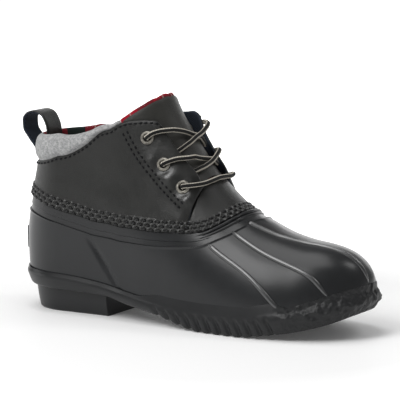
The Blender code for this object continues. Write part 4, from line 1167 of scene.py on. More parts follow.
@dataclass
class RubberShell:
    """Rubber bottom: tall wall round the foot, a sunk band, a lip over the vamp and toe ribs."""

    wall: float = 0.0030
    band_depth: float = 0.0008
    tier_depth: float = 0.0003
    tier_share: float = 0.42
    lip: float = 0.0011
    second_lip: float = 0.0003
    lip_places: tuple = (7.9, 9.0)
    beads: tuple = ((0.885, 0.12), (0.64, 0.095))
    tuck_places: tuple = (6.9, 7.2)
    tuck_side: float = -0.0013
    tuck_vamp: float = -0.0023
    rib_radius: float = 0.0019
    rib_lift: float = -0.0001
    rib_sink: float = 0.0009
    rib_low: tuple = ((0.1280, 38.1), (0.1500, 35.0), (0.1710, 25.2), (0.1860, 10.5), (0.1940, 1.5))
    rib_high: tuple = ((0.1415, 56.8), (0.1705, 53.0), (0.1920, 45.0), (0.2070, 36.0), (0.2205, 15.5))
    rib_centre: tuple = ((0.1480, 74.0), (0.1520, 75.0), (0.1750, 79.0), (0.2000, 82.0), (0.2200, 83.0),
                         (0.2310, 82.0), (0.2352, 80.0), (0.2374, 76.0))
    rib_passes: int = 110
    crease: tuple = ((0.0268, 0.0598), (0.0410, 0.0405), (0.0560, 0.0205))
    crease_width: float = 0.0021
    crease_depth: float = 0.0015
    edge_swell: float = 0.00055

    def side_net(self, side: Side) -> Net:
        """Wall, band and tuck of one side, back to the middle of the vamp."""
        places = places_of(150, RIDGE_PLACE)
        feather, band, rim, tuck = (LAST.guide(rows, places)
                                    for rows in (FEATHER_LINE, BAND_LINE, RIM_LINE, TUCK_LINE))
        on_band = np.linspace(0.0, 1.0, 31)[1:]
        on_tuck = np.linspace(0.0, 1.0, 5)[1:]
        lines = [blend(feather, band, share) for share in WALL_RISE]
        lines += [blend(band, rim, share) for share in on_band]
        lines += [blend(rim, tuck, share) for share in on_tuck]
        net = Net.on_last(lines, side)
        vamp = smooth_step(places, *self.lip_places)[:, None]
        under = np.interp(places, self.tuck_places, [self.tuck_side, self.tuck_vamp])[:, None]
        tier = (self.band_depth - self.tier_depth) * (on_band > self.tier_share)
        floor = -self.band_depth + tier * (1 - vamp)
        bead, second = (np.clip(1 - np.abs((on_band - middle) / half) ** 2.4, 0, 1) ** 0.5
                        for middle, half in self.beads)
        swell = self.edge_swell * np.exp(-((1 - WALL_RISE) / 0.018) ** 2)
        out = np.concatenate([
            np.broadcast_to(swell, (len(places), len(WALL_RISE))),
            floor + vamp * (bead * (self.lip - floor) + second * (self.second_lip - floor)),
            np.broadcast_to(under, (len(places), len(on_tuck))),
        ], axis=1)
        inner = -self.wall + (under - self.tuck_side)
        inn = np.concatenate([np.full((len(places), len(WALL_RISE) + len(on_band)), -self.wall),
                              np.broadcast_to(inner, (len(places), len(on_tuck)))], axis=1)
        if side is Side.OUTER:
            station, height = np.array(self.crease).T
            fold = LAST.skin(station, LAST.arch_angle(station, height), side.value)
            out = out + trough(net.points, fold, self.crease_width, -self.crease_depth)
        net.out, net.inn = out, inn
        return net

    def front_net(self, side: Side) -> Net:
        """Toe of one side, from the band's end to the tip."""
        share = 1 - (1 - np.linspace(0, 1, 60)) ** 1.7
        lower, upper = (np.column_stack([start + (LAST.tip - start) * share, 0 * share + angle])
                        for start, angle in ((FEATHER_LINE[-1][1], 0), (BAND_LINE[-1][1], 90)))
        net = Net.on_last([blend(lower, upper, rise) for rise in WALL_RISE], side)
        swell = self.edge_swell * np.exp(-((1 - WALL_RISE) / 0.02) ** 2)
        net.out = swell * np.exp(-(share[:, None] / 0.02) ** 2)
        net.inn = np.full(net.out.shape, -self.wall)
        return net

    def ribs(self) -> list:
        """Half-sunk beads over the toe, thinner towards their ends."""
        made = []
        for rows, side in ((self.rib_low, -1), (self.rib_high, -1), (self.rib_centre, -1),
                           (self.rib_high, 1), (self.rib_low, 1)):
            route = relax(smooth_line(np.array(rows), 90), self.rib_passes)
            t = np.linspace(0, 1, len(route))
            lift = self.rib_lift - self.rib_sink * smooth_step(t, 0.45, 1.0)
            ends = np.minimum(1, np.minimum(t / 0.02, (1 - t) / 0.30)) ** 0.7
            line = LAST.above(route[:, 0], route[:, 1], side, lift)
            made.append(tube_arrays(line, self.rib_radius * (0.45 + 0.55 * ends), 14))
        return made

    def build(self) -> None:
        """Make the shell and its ribs."""
        nets = [make(side) for side in Side for make in (self.side_net, self.front_net)]
        wall_piece("rubber_bottom", nets, [SHELL_RUBBER, LINING], "black_rubber", "rubber_shell", sharp=28.0)
        plain_piece("toe_ribs", self.ribs(), RIB_RUBBER, "black_rubber")


@dataclass
class Eyelets:
    """Flanged metal eyelets in the two lacing flaps."""

    places: tuple = ((0.0724, 0.1328), (0.0862, 0.1144), (0.1019, 0.0988))
    hole: float = 0.0034
    profile: tuple = (
        (0.0026, -0.0022), (0.0026, 0.0002), (0.00266, 0.0008), (0.0029, 0.00115), (0.0033, 0.00130),
        (0.0040, 0.00128), (0.0046, 0.00105), (0.0049, 0.0008), (0.0050, 0.0005), (0.0048, 0.0003),
        (0.0032, 0.0002), (0.0032, -0.0021), (0.0045, -0.0022), (0.0046, -0.0025), (0.0040, -0.0028),
        (0.0030, -0.0027),
    )

    def flap_point(self, station: np.ndarray | float, angle: np.ndarray | float, side: Side) -> np.ndarray:
        """Points of the flap's outer face."""
        lift = flap_lift(station, angle, side.value) + QUARTER_OUT
        return LAST.above(station, angle, side.value, lift)

    def seat(self, number: int, side: Side) -> tuple:
        """Centre on the flap's outer face and outward axis of one eyelet."""
        station, height = self.places[number]
        angle = float(LAST.arch_angle(station, height))
        along = self.flap_point(station + 0.004, angle, side) - self.flap_point(station - 0.004, angle, side)
        across = self.flap_point(station, angle + 4.0, side) - self.flap_point(station, angle - 4.0, side)
        axis = np.cross(along, across) * -side.value
        return self.flap_point(station, angle, side), axis / np.linalg.norm(axis)

    def build(self) -> None:
        """Make the six rings."""
        for side in Side:
            label = "lateral" if side is Side.OUTER else "medial"
            for number in range(len(self.places)):
                ring = lathe_arrays(self.profile, 40, *self.seat(number, side))
                end = "%s_%d" % (label, number + 1)
                plain_piece("ring_" + end, [ring], PEWTER, "eyelet_metal", "eyelet_" + end, sharp=70.0)


@dataclass
class LeatherUpper:
    """Quarters with lacing flaps over a vamp, sewn to the rubber with three rows of thread."""

    eyelets: Eyelets
    half: float = 0.0010
    edge: float = 0.0011
    vamp_in: float = -0.0020
    vamp_under: float = -0.0012
    calm_ramp: tuple = (0.009, 0.022)
    pulls: tuple = (
        # station, arch angle, width and height of the leather pulled up below each eyelet
        (0.0757, 41.0, 0.0056, 0.0014), (0.0904, 44.6, 0.0064, 0.0022), (0.1071, 48.4, 0.0060, 0.0019),
    )
    folds: tuple = (
        # sides, rows of (station, angle), width, height
        ((-1, 1), ((0.0620, 16.0), (0.0760, 22.0), (0.0880, 30.0)), 0.0060, -0.0006),
        ((-1, 1), ((0.0300, 12.0), (0.0480, 15.5), (0.0640, 21.0)), 0.0080, 0.0006),
        ((-1,), ((0.1010, 33.0), (0.1060, 40.0), (0.1085, 48.0)), 0.0035, 0.0006),
    )

    def low_line(self, places: np.ndarray) -> np.ndarray:
        """Bottom edge of the leather, just above the rubber's rim."""
        return blend(LAST.guide(RIM_LINE, places), LAST.guide(TUCK_LINE, places), 0.045)

    def relief(self, station: np.ndarray, angle: np.ndarray, side: Side,
               calm: np.ndarray | float) -> np.ndarray:
        """Lift of the leather's face over the last's.

        Args:
            station: stations of the points.
            angle: arch angles of the points.
            side: half of the boot.
            calm: 0 where the slow waviness dies out, 1 where it is full.

        Returns:
            Soft folds, waviness and the swelling below each eyelet, in metres.
        """
        points = LAST.skin(station, angle, side.value)
        face = self.eyelets.flap_point(station, angle, side)
        lift = 0.00035 * lattice_noise(points, 0.019, 5) * calm
        for signs, rows, width, height in self.folds:
            if side.value in signs:
                lift = lift + trough(points, LAST.place(np.array(rows), side.value), width, height)
        for number, (at, arch, width, height) in enumerate(self.pulls):
            centre, _ = self.eyelets.seat(number, side)
            away = np.linalg.norm(face - centre, axis=-1)
            swell = np.linalg.norm(face - self.eyelets.flap_point(at, arch, side), axis=-1)
            lift = (lift + height * np.exp(-(swell / width) ** 2)) * smooth_step(away, 0.0040, 0.0085)
            lift = lift + 0.0003 * np.exp(-((away - 0.0095) / 0.0034) ** 2)
        return lift

    def quarter(self, side: Side) -> Net:
        """Quarter of one side, with its flap and eyelet holes."""
        places = places_of(128, VAMP_FROM + 0.03)
        low = self.low_line(places)
        top = LAST.guide(QUARTER_TOP, np.minimum(places, VAMP_FROM))
        share = np.linspace(0, 1, 84)
        share = share - 0.10 * np.sin(2 * math.pi * share) / (2 * math.pi)
        net = Net.on_last([blend(low, top, s) for s in share], side)
        station, angle = net.places[..., 0], net.places[..., 1]
        calm = smooth_step(net.edge_gap(Edge.LOW, Edge.TOP), *self.calm_ramp)
        lift = flap_lift(station, angle, side.value) + self.relief(station, angle, side, calm)
        half = self.half * rounded(net.edge_gap(Edge.END, Edge.LOW, Edge.TOP), self.edge)
        sewn = (1 - smooth_step(share, 0.36, 0.52)) * np.exp(-(net.edge_gap(Edge.END) / 0.0045) ** 2)
        net.out = lift + half - 0.0011 * sewn
        net.inn = lift - half
        surface = self.eyelets.flap_point(station, angle, side)
        centres = (surface[1:, 1:] + surface[:-1, :-1] + surface[1:, :-1] + surface[:-1, 1:]) / 4
        net.skip = np.zeros(centres.shape[:2], bool)
        for number in range(len(self.eyelets.places)):
            centre, _ = self.eyelets.seat(number, side)
            net.skip |= np.linalg.norm(centres - centre, axis=-1) < self.eyelets.hole
        return net

    def vamp(self, side: Side) -> Net:
        """Vamp of one side; its ends lie under the quarter."""
        places = np.linspace(VAMP_FROM - 0.25, RIDGE_PLACE, 64)
        low = self.low_line(places)
        top = LAST.guide(VAMP_BACK, np.maximum(places, VAMP_FROM))
        net = Net.on_last([blend(low, top, s) for s in np.linspace(0, 1, 44)], side)
        under = smooth_step(places, VAMP_FROM - 0.12, VAMP_FROM + 0.25)[:, None]
        upper = self.vamp_under + (VAMP_OUT - self.vamp_under) * under
        middle = (upper + self.vamp_in) / 2
        gap = net.edge_gap(Edge.LOW, Edge.TOP)
        half = (upper - self.vamp_in) / 2 * rounded(gap, self.edge)
        wave = 0.0003 * lattice_noise(net.points, 0.021, 9) * smooth_step(gap, 0.009, 0.02)
        net.out = middle + half + wave
        net.inn = middle - half
        return net

    def build(self) -> None:
        """Make both quarters as one leather piece and the vamp as another."""
        finishes = [UPPER_LEATHER, FLAP_LINING]
        quarters = [self.quarter(side) for side in Side]
        wall_piece("leather_quarters", quarters, finishes, "black_leather", "upper")
        wall_piece("leather_vamp", [self.vamp(side) for side in Side], finishes, "black_leather")


@dataclass
class Stitching:
    """Rows of thread: thick waxed ones along the rim and fine ones on the quarters."""

    upper: LeatherUpper
    rim_rows: tuple = (0.0010, 0.0041, 0.0073)
    rim_phases: tuple = (0.5, 0.0, 0.5)
    rim_pitch: float = 0.0062
    rim_length: float = 0.0040
    rim_radius: float = 0.00085
    band_height: float = 0.0098
    pillow: float = 0.00065
    slot: float = 0.00080
    fine_size: tuple = (0.0040, 0.0030, 0.00074)
    flap_seam: tuple = ((0.0552, 33.9), (0.0600, 34.5), (0.0645, 35.2), (0.0718, 37.2), (0.0799, 39.0),
                        (0.0871, 40.0), (0.0972, 41.6), (0.1048, 43.4))
    seam_gap: float = 0.0018
    top_gap: float = 0.0022
    rim_points: int = 520
    rim_lean: float = 12.0

    def surface(self, route: np.ndarray, side: Side, base: np.ndarray) -> tuple:
        """Points and normals of the leather's face along a route of stations and angles."""
        station, angle = route[:, 0], route[:, 1]
        line = LAST.above(station, angle, side.value, flap_lift(station, angle, side.value) + base)
        return line, LAST.normal(station, angle, side.value)

    def fine_seam(self, route: np.ndarray, side: Side, calm: np.ndarray | float) -> tuple:
        """Fine stitches along a route over the folds of the leather."""
        base = QUARTER_OUT + self.upper.relief(route[:, 0], route[:, 1], side, calm)
        line, normals = self.surface(route, side, base)
        return stitch_arrays(line, normals, *self.fine_size)

    def rim_route(self, side: Side, heights: np.ndarray) -> tuple:
        """Routes along the rim at heights above the leather's bottom edge.

        Args:
            side: half of the boot.
            heights: height of each route over the edge, in metres.

        Returns:
            Stations and angles by place and route, the run along the edge and the leather's lift there.
        """
        places = places_of(500, RIDGE_PLACE)
        run = run_of(LAST.place(self.upper.low_line(places), side.value))
        even_run = np.linspace(0, run[-1], self.rim_points)
        even = np.interp(even_run, run, places)
        low, high = self.upper.low_line(even), LAST.guide(TUCK_LINE, even)
        gap = np.linalg.norm(LAST.place(high, side.value) - LAST.place(low, side.value), axis=1)
        routes = low[:, None] + (high - low)[:, None] * (heights[None] / gap[:, None])[..., None]
        lift = np.interp(even, [VAMP_FROM, VAMP_FROM + 0.08], [QUARTER_OUT, VAMP_OUT])
        return routes, even_run, lift

    def rim(self) -> list:
        """Three rows just above the leather's bottom edge."""
        made = []
        size = (self.rim_pitch, self.rim_length, self.rim_radius)
        for side in Side:
            routes, run, base = self.rim_route(side, np.array(self.rim_rows))
            for number, phase in enumerate(self.rim_phases):
                line, normals = self.surface(routes[:, number], side, base)
                made.append(stitch_arrays(line, normals, *size, self.rim_lean * side.value, phase, run))
        return made

    def rim_band(self, side: Side) -> Net:
        """Leather's sewn edge, pulled down at every stitch and swollen between them."""
        heights = np.linspace(0, self.band_height, 20)
        routes, run, base = self.rim_route(side, heights)
        net = Net.on_last(list(routes.transpose(1, 0, 2)), side)
        pitch = run[-1] / int(run[-1] / self.rim_pitch)
        relief = np.zeros(net.out.shape)
        for row, phase in zip(self.rim_rows, self.rim_phases):
            along = np.abs((run / pitch - phase + 0.5) % 1 - 0.5)[:, None] * pitch
            across = (heights - row)[None]
            relief -= self.slot * np.exp(-(along / (self.rim_length * 0.52)) ** 6 - (across / 0.0010) ** 2)
            relief += self.pillow * np.exp(-((pitch / 2 - along) / 0.0012) ** 2 - (across / 0.0013) ** 2)
        fade = 1 - smooth_step(heights, self.band_height - 0.0016, self.band_height)[None]
        net.out = base[:, None] + 0.00015 + relief * fade - 0.0005 * (1 - fade)
        net.out = net.out - 0.0006 * (1 - rounded(heights, 0.0008))[None]
        net.inn = net.out * 0 + base[:, None] - 0.0009
        return net

    def offset_route(self, route: np.ndarray, side: Side, gap: float) -> np.ndarray:
        """Move a route sideways over the last by a gap in metres, in (station, angle)."""
        at = LAST.place(route, side.value)
        by_station = (LAST.skin(route[:, 0] + 0.001, route[:, 1], side.value) - at) / 0.001
        by_angle = LAST.skin(route[:, 0], route[:, 1] + 1.0, side.value) - at
        ahead = unit(np.gradient(at, axis=0))
        across = np.cross(LAST.normal(route[:, 0], route[:, 1], side.value), ahead)
        matrix = np.stack([by_station, by_angle], -1)
        moved = np.array([np.linalg.lstsq(m, a * gap, rcond=None)[0] for m, a in zip(matrix, across)])
        return route + moved

    def flap_seams(self) -> list:
        """Double row behind the eyelets."""
        made = []
        route = smooth_line(np.array(self.flap_seam), 60)
        for side in Side:
            for gap in (-self.seam_gap, self.seam_gap):
                row = self.offset_route(route, side, gap)
                run = run_of(LAST.place(row, side.value))
                calm = smooth_step(np.minimum(run, run[-1] - run), *self.upper.calm_ramp)
                made.append(self.fine_seam(row, side, calm))
        return made

    def top_row(self) -> list:
        """Single row below the topline, round the flap's corner."""
        made = []
        places = places_of(260, 6.0)
        top = LAST.guide(QUARTER_TOP, places)
        low = self.upper.low_line(places)
        for side in Side:
            tall = np.linalg.norm(LAST.place(top, side.value) - LAST.place(low, side.value), axis=1)
            made.append(self.fine_seam(top + (low - top) * (self.top_gap / tall)[:, None], side, 0.0))
        return made

    def build(self) -> None:
        """Make the thread pieces."""
        wall_piece("sewn_rim", [self.rim_band(side) for side in Side], [RIM_LEATHER], "black_leather")
        plain_piece("rim_stitches", self.rim(), SEAM_THREAD, "black_leather")
        plain_piece("flap_stitches", self.flap_seams() + self.top_row(), FINE_THREAD, "black_leather")


@dataclass
class Tongue:
    """Wide leather tongue with a plaid lining that shows past its edge."""

    out: float = -0.0013
    inn: float = -0.0032
    lining: float = 0.0020
    between: float = -0.0026

    def layer(self, side: Side, extra: float, out: float, inn: float, edge: float) -> Net:
        """One layer of the tongue.

        Args:
            side: half of the boot.
            extra: how far the layer stands past the leather's edge.
            out: lift of its outer face over the last.
            inn: lift of its inner face.
            edge: radius of its rounded edge.

        Returns:
            The net of this half.
        """
        places = np.concatenate([np.linspace(30 * extra, 2.2, 34), np.linspace(2.2, 3, 14)[1:]])
        low = LAST.guide(TONGUE_LOW, places)
        rows = np.array(TONGUE_TOP)
        rows[1:-1, 2] += extra
        rows[1:, 1] -= extra * 0.6
        rows[0, 1] -= extra * 1.8
        top = LAST.guide(rows, places)
        net = Net.on_last([blend(low, top, s) for s in np.linspace(0, 1, 56)], side)
        gap = net.edge_gap(Edge.START, Edge.TOP)
        wave = 0.0005 * lattice_noise(net.points, 0.024, 3) * smooth_step(gap, 0.0, 0.015)
        flare = 0.0006 * np.exp(-net.edge_gap(Edge.TOP) / 0.006)
        half = (out - inn) / 2 * rounded(gap, edge)
        net.out = (out + inn) / 2 + half + wave + flare
        net.inn = (out + inn) / 2 - half + wave + flare
        return net

    def build(self) -> None:
        """Make the leather and the lining behind it."""
        leather = [self.layer(side, 0.0, self.out, self.between, 0.0008) for side in Side]
        wall_piece("tongue_leather", leather, [TONGUE_LEATHER], "tongue_leather", "tongue")
        lining = [self.layer(side, self.lining, self.between, self.inn - 0.0003, 0.0004) for side in Side]
        wall_piece("tongue_lining", lining, [LINING], "tongue_leather")


@dataclass
class Collar:
    """Padded felt cuff inside and above the leather round the back of the ankle."""

    out: float = -0.0016
    inn: float = -0.0052
    rows: int = 54
    fade_places: tuple = (3.4, 4.5)
    rim_shift: tuple = ((-0.0004, -0.0018, -0.0012), (0.0004, 0.0010, 0.0008))

    def net(self, side: Side) -> Net:
        """One half, from its hidden lower edge to the rolled top."""
        heel = np.interp(LAST.heel_stations(22), [-0.036, -0.020, 0.002], [0, 1, 2])
        places = np.concatenate([heel, np.linspace(heel[-1], 4.5, 60)[1:]])
        rim = np.array(COLLAR_TOP)
        rim[2:5, 2] += self.rim_shift[side is Side.INNER]
        low, line, top = (LAST.guide(rows, places) for rows in (COLLAR_LOW, QUARTER_TOP, rim))
        controls = [low, blend(low, line, 0.6)]
        controls += [blend(line, top, share) for share in (0.04, 0.20, 0.45, 0.80)] + [top]
        outs = [self.out, self.out, 0.0003, 0.0024, 0.0032, 0.0022, -0.0006]
        inns = [self.inn + rise for rise in (0.0015, 0, 0, 0, 0.0004, 0.0010)] + [-0.0034]
        grid, out, inn = (spline_rows(np.stack(rows), self.rows) for rows in (controls, outs, inns))
        net = Net.on_last(grid, side)
        fade = np.interp(places, self.fade_places, [1.0, 0.0])[:, None]
        out = self.out + (out - self.out) * fade
        inn = np.minimum(inn + (1 - fade) * 0.0012, out - 0.0010)
        round_top = rounded(net.edge_gap(Edge.END, Edge.TOP), 0.0016)
        middle = (out + inn) / 2
        lumps = 0.0004 * lattice_noise(net.points, 0.011, 7) + 0.0002 * lattice_noise(net.points, 0.005, 8)
        free = np.linspace(0, 1, self.rows) > 0.42
        net.out = middle + (out - middle) * round_top + lumps * free * fade
        net.inn = middle + (inn - middle) * round_top
        return net

    def build(self) -> None:
        """Make the cuff."""
        nets = [self.net(side) for side in Side]
        cuff = wall_piece("felt_collar", nets, [COLLAR_FELT, LINING], "grey_felt", "collar")


@dataclass
class Outsole:
    """Outsole plate with a rounded rim, side teeth, cross lugs and a pebbled toe guard."""

    sections: tuple = (
        # station, ground side height, widest height, rim height, low overhang, wide overhang
        (-0.036, 0.0182, 0.0260, 0.0305, 0.0000, 0.0024), (0.005, 0.0176, 0.0248, 0.0292, 0.0008, 0.0034),
        (0.040, 0.0165, 0.0215, 0.0258, 0.0010, 0.0034), (0.060, 0.0125, 0.0175, 0.0222, 0.0008, 0.0030),
        (0.085, 0.0085, 0.0130, 0.0185, 0.0010, 0.0027), (0.100, 0.0050, 0.0105, 0.0165, 0.0014, 0.0027),
        (0.115, 0.0015, 0.0095, 0.0158, 0.0016, 0.0023), (0.127, 0.0, 0.0092, 0.0155, 0.0017, 0.0022),
        (0.158, 0.0, 0.0095, 0.0160, 0.0017, 0.0023), (0.175, 0.0022, 0.0120, 0.0190, 0.0016, 0.0026),
        (0.195, 0.0055, 0.0150, 0.0235, 0.0014, 0.0032), (0.212, 0.0095, 0.0180, 0.0295, 0.0008, 0.0034),
        (0.228, 0.0145, 0.0230, 0.0355, -0.0010, 0.0028), (0.2385, 0.0190, 0.0265, 0.0385, -0.0036, 0.0022),
    )
    shoulder_stations: tuple = (0.195, 0.232)
    shoulder_drops: tuple = (0.0016, 0.0060)
    pitch: float = 0.0084
    teeth_from: float = 0.0885
    teeth: int = 12
    lean: float = 0.45
    flare: float = 0.0055
    flare_in: tuple = (0.070, 0.095)
    flare_out: tuple = (0.180, 0.196)
    guard_in: tuple = (0.184, 0.194)
    tooth_depth: float = 0.0015
    tread_depth: float = 0.0028
    gap: float = 0.0004
    shaped: int = 40

    def stations(self) -> np.ndarray:
        """Stations round the heel, along the waist, sixteen to a tooth, and closer towards the tip."""
        end = self.teeth_from + self.pitch * self.teeth
        teeth = np.linspace(self.teeth_from, end, self.teeth * 16 + 1)
        front = end + (LAST.tip - end) * (1 - (1 - np.linspace(0, 1, 110)) ** 1.7)
        return np.concatenate([LAST.heel_stations(40)[:-1], np.linspace(0, self.teeth_from, 40)[:-1],
                               teeth, front[1:]])

    def groove(self, stations: np.ndarray, height: np.ndarray | float = 0.0) -> np.ndarray:
        """Depth share of the leaning grooves between teeth: 0 on a tooth, 1 in a groove."""
        t = (stations + self.lean * height - self.teeth_from) / self.pitch
        inside = smooth_step(t, -0.1, 0.3) * (1 - smooth_step(t, self.teeth - 0.3, self.teeth + 0.1))
        return (0.5 + 0.5 * np.cos(2 * math.pi * (t - 0.75))) ** 2.2 * inside

    def side_points(self, stations: np.ndarray, side: Side, out: np.ndarray) -> np.ndarray:
        """Side of the sole from the ground edge up over the rim and down to the feather line."""
        ground, widest, rim, low, wide = (follow(self.sections, k, stations) for k in range(1, 6))
        feather = LAST.section(stations)[0]
        shoulder = np.interp(stations, self.shoulder_stations, self.shoulder_drops)
        smooth = smooth_step(stations, *self.flare_in) * (1 - smooth_step(stations, *self.flare_out))
        guard = smooth_step(stations, *self.guard_in)
        crest = rim + self.flare * smooth
        tip = np.maximum(wide - 0.0022, 0.0012)
        tip = tip - tip * smooth
        tip = tip + (np.interp(stations, [0.200, LAST.tip], [0.0006, -0.0026]) - tip) * guard
        controls = np.array([
            (low - 0.0012, ground),
            (low - 0.0001, ground + 0.0009),
            ((low + wide) / 2, (ground + widest) / 2),
            (wide, widest),
            (wide - 0.0003 - 0.0003 * smooth - 0.0004 * guard, (widest + rim - shoulder) / 2 + 0.0006),
            (wide - 0.0008 - (wide - 0.0020) * smooth + ((wide + tip) / 2 - wide) * guard,
             rim - shoulder * (1 - guard) + 0.0010 * smooth - 0.0030 * guard),
            (tip, crest),
            (0 * rim + self.gap - 0.0010 * smooth, crest),
            (0 * rim + self.gap - 0.0010 * smooth, crest - 0.0012),
            (0 * rim + self.gap, feather),
        ])
        rows = np.concatenate([spline_rows(controls[:7], self.shaped), controls[7:]])
        columns = []
        for number, (reach, height) in enumerate(rows):
            angle = LAST.arch_angle(stations, height)
            place = LAST.skin(stations, angle, side.value)
            if number < self.shaped:
                place[:, 2] = height
                groove = self.groove(stations, height) * (1 - smooth_step(number, 15, 30))
                low_share = 1 - smooth_step(number, 0, 8)
                rough = 0.5 - 1.6 * np.abs(lattice_noise(place, 0.0046, 11))
                rough = rough + 0.6 * lattice_noise(place, 0.0024, 12)
                rough = rough * guard * smooth_step(number, 0, 2)
                reach = reach - self.tooth_depth * groove + 0.0009 * rough
                height = height + self.tread_depth * groove * low_share
                height = height + 0.0007 * rough * smooth_step(number, 28, 38)
            place = place + out * reach[:, None]
            place[:, 2] = np.maximum(height, ground)
            columns.append(place)
        return np.stack(columns, 1)

    def tread(self, stations: np.ndarray) -> np.ndarray:
        """Heights of the underside: cross lugs with two long channels and a plain waist."""
        ground = follow(self.sections, 1, stations)[:, None]
        groove = self.groove(stations)[:, None]
        channel = np.exp(-((ACROSS - 0.33) / 0.025) ** 2) + np.exp(-((ACROSS - 0.67) / 0.025) ** 2)
        lugs = smooth_step(stations, self.teeth_from - 0.004, self.teeth_from)[:, None]
        return ground + self.tread_depth * np.maximum(groove, 0.8 * channel[None] * lugs)

    def build(self) -> None:
        """Make the outsole."""
        stations = self.stations()
        outs = plan_normals(*(LAST.skin(stations, 0.0 * stations, side.value) for side in Side))
        left, right = (self.side_points(stations, side, out) for side, out in zip(Side, outs))
        nets = block_nets(left, right, self.tread(stations))
        sole = fill_mesh("outsole", *closed_arrays(nets), 0, 42.0)
        finish_piece(sole, [SOLE_RUBBER], "outsole_rubber", "sole")


@dataclass
class HeelBlock:
    """Heel block with a straight breast, a slight taper and cross grooves below."""

    sole: Outsole
    front: float = 0.040
    outline_height: float = 0.026
    gap: float = 0.0003
    groove_pitch: float = 0.0095
    groove_depth: float = 0.0022
    steps: tuple = ((0.00, 0.0078), (0.03, 0.0070), (0.12, 0.0065), (0.85, 0.0044), (1.00, 0.0042))

    def build(self) -> None:
        """Make the block."""
        stations = np.concatenate([LAST.heel_stations(44), np.linspace(0, self.front, 30)[1:]])
        angle = LAST.arch_angle(np.maximum(stations, 0), self.outline_height)
        top = follow(self.sole.sections, 1, stations) - self.gap
        base_out, _ = plan_normals(*(LAST.skin(stations, angle, side.value) for side in Side))
        sides = []
        for side in Side:
            out = base_out.copy()
            out[:, 1] = side.value * np.abs(out[:, 1])
            out[stations >= 0.0] = (0.0, side.value, 0.0)
            columns = []
            for share in np.linspace(0, 1, 22):
                place = LAST.skin(stations, angle, side.value) - out * float(follow(self.steps, 1, share))
                place[:, 2] = top * share
                columns.append(place)
            net = np.stack(columns, 1)
            net[0, :, 1] = 0.0
            sides.append(net)
        left, right = sides
        right[0] = left[0]
        bars = np.clip(np.sin(stations * 2 * math.pi / self.groove_pitch) * 4, -1, 1)[:, None] * 0.5 + 0.5
        along = smooth_step(stations, -0.026, -0.020) * (1 - smooth_step(stations, 0.034, 0.037))
        across = smooth_step(ACROSS, 0.10, 0.14) - smooth_step(ACROSS, 0.86, 0.90)
        under = self.groove_depth * bars * along[:, None] * across[None]
        share = ACROSS[:, None, None]
        breast = Net.plain(left[-1][None] * (1 - share) + right[-1][None] * share)
        arrays = closed_arrays(block_nets(left, right, under) + [breast])
        finish_piece(fill_mesh("heel_block", *arrays, 0, 42.0), [SOLE_RUBBER], "outsole_rubber", "heel")


@dataclass
class HeelPatch:
    """Bare raised patch at the back of the shell with a thin frame."""

    half_width: float = 0.0135
    heights: tuple = (0.0420, 0.0590)
    out: float = 0.0015
    inn: float = 0.0002

    def build(self) -> None:
        """Make the patch; it is left blank inside its frame."""
        across = np.linspace(0, self.half_width, 34)
        half = LAST.sections[0][2]
        power = LAST.heel_roundness
        stations = -LAST.heel_reach * (1 - (across / half) ** power) ** (1 / power)
        nets = []
        for side in Side:
            lines = [np.column_stack([stations, np.full(len(stations), float(LAST.arch_angle(0.0, height)))])
                     for height in np.linspace(*self.heights, 44)]
            net = Net.on_last(lines, side)
            gap = net.edge_gap(Edge.END, Edge.LOW, Edge.TOP)
            frame = smooth_step(gap, 0.0016, 0.0022)
            net.out = self.inn + (self.out - self.inn) * rounded(gap, 0.0009) - 0.0004 * frame
            net.inn = np.full(net.out.shape, self.inn)
            nets.append(net)
        wall_piece("heel_patch", nets, [BADGE_RUBBER], "badge_rubber", "heel_badge", sharp=50.0)


@dataclass
class PullLoop:
    """Strap bent up from the leather edge and down inside the collar: leather outside, tape inside."""

    line: tuple = (
        (-0.0320, 0.1115), (-0.0340, 0.1165), (-0.0400, 0.1240), (-0.0446, 0.1310), (-0.0450, 0.1370),
        (-0.0414, 0.1418), (-0.0354, 0.1434), (-0.0298, 0.1420), (-0.0262, 0.1375), (-0.0241, 0.1320),
        (-0.0233, 0.1260), (-0.0231, 0.1200),
    )
    width: float = 0.0190
    thick: float = 0.0020

    def build(self) -> None:
        """Make the strap and its edge stitches."""
        route = smooth_line(np.array([(x, 0.0, z) for x, z in self.line]), 120)
        across = np.linspace(-1, 1, 26)
        points = route[:, None] + np.array([0.0, 1.0, 0.0]) * (across * self.width / 2)[None, :, None]
        net = Net.plain(points)
        half = self.thick / 2 * rounded(net.edge_gap(Edge.LOW, Edge.TOP), 0.0008)
        net.out, net.inn = half, -half
        wall_piece("loop_strap", [net], [UPPER_LEATHER, LOOP_WEBBING], "loop_webbing", "pull_loop")
        up = unit(np.cross(np.gradient(route, axis=0), [0.0, 1.0, 0.0]))
        rows = []
        for side in (-1, 1):
            line = route + np.array([0.0, side * (self.width / 2 - 0.0017), 0.0]) - up * self.thick / 2
            rows.append(stitch_arrays(line[4:84], -up[4:84], 0.0030, 0.0023, 0.00036))
        plain_piece("loop_stitches", rows, FINE_THREAD, "loop_webbing")


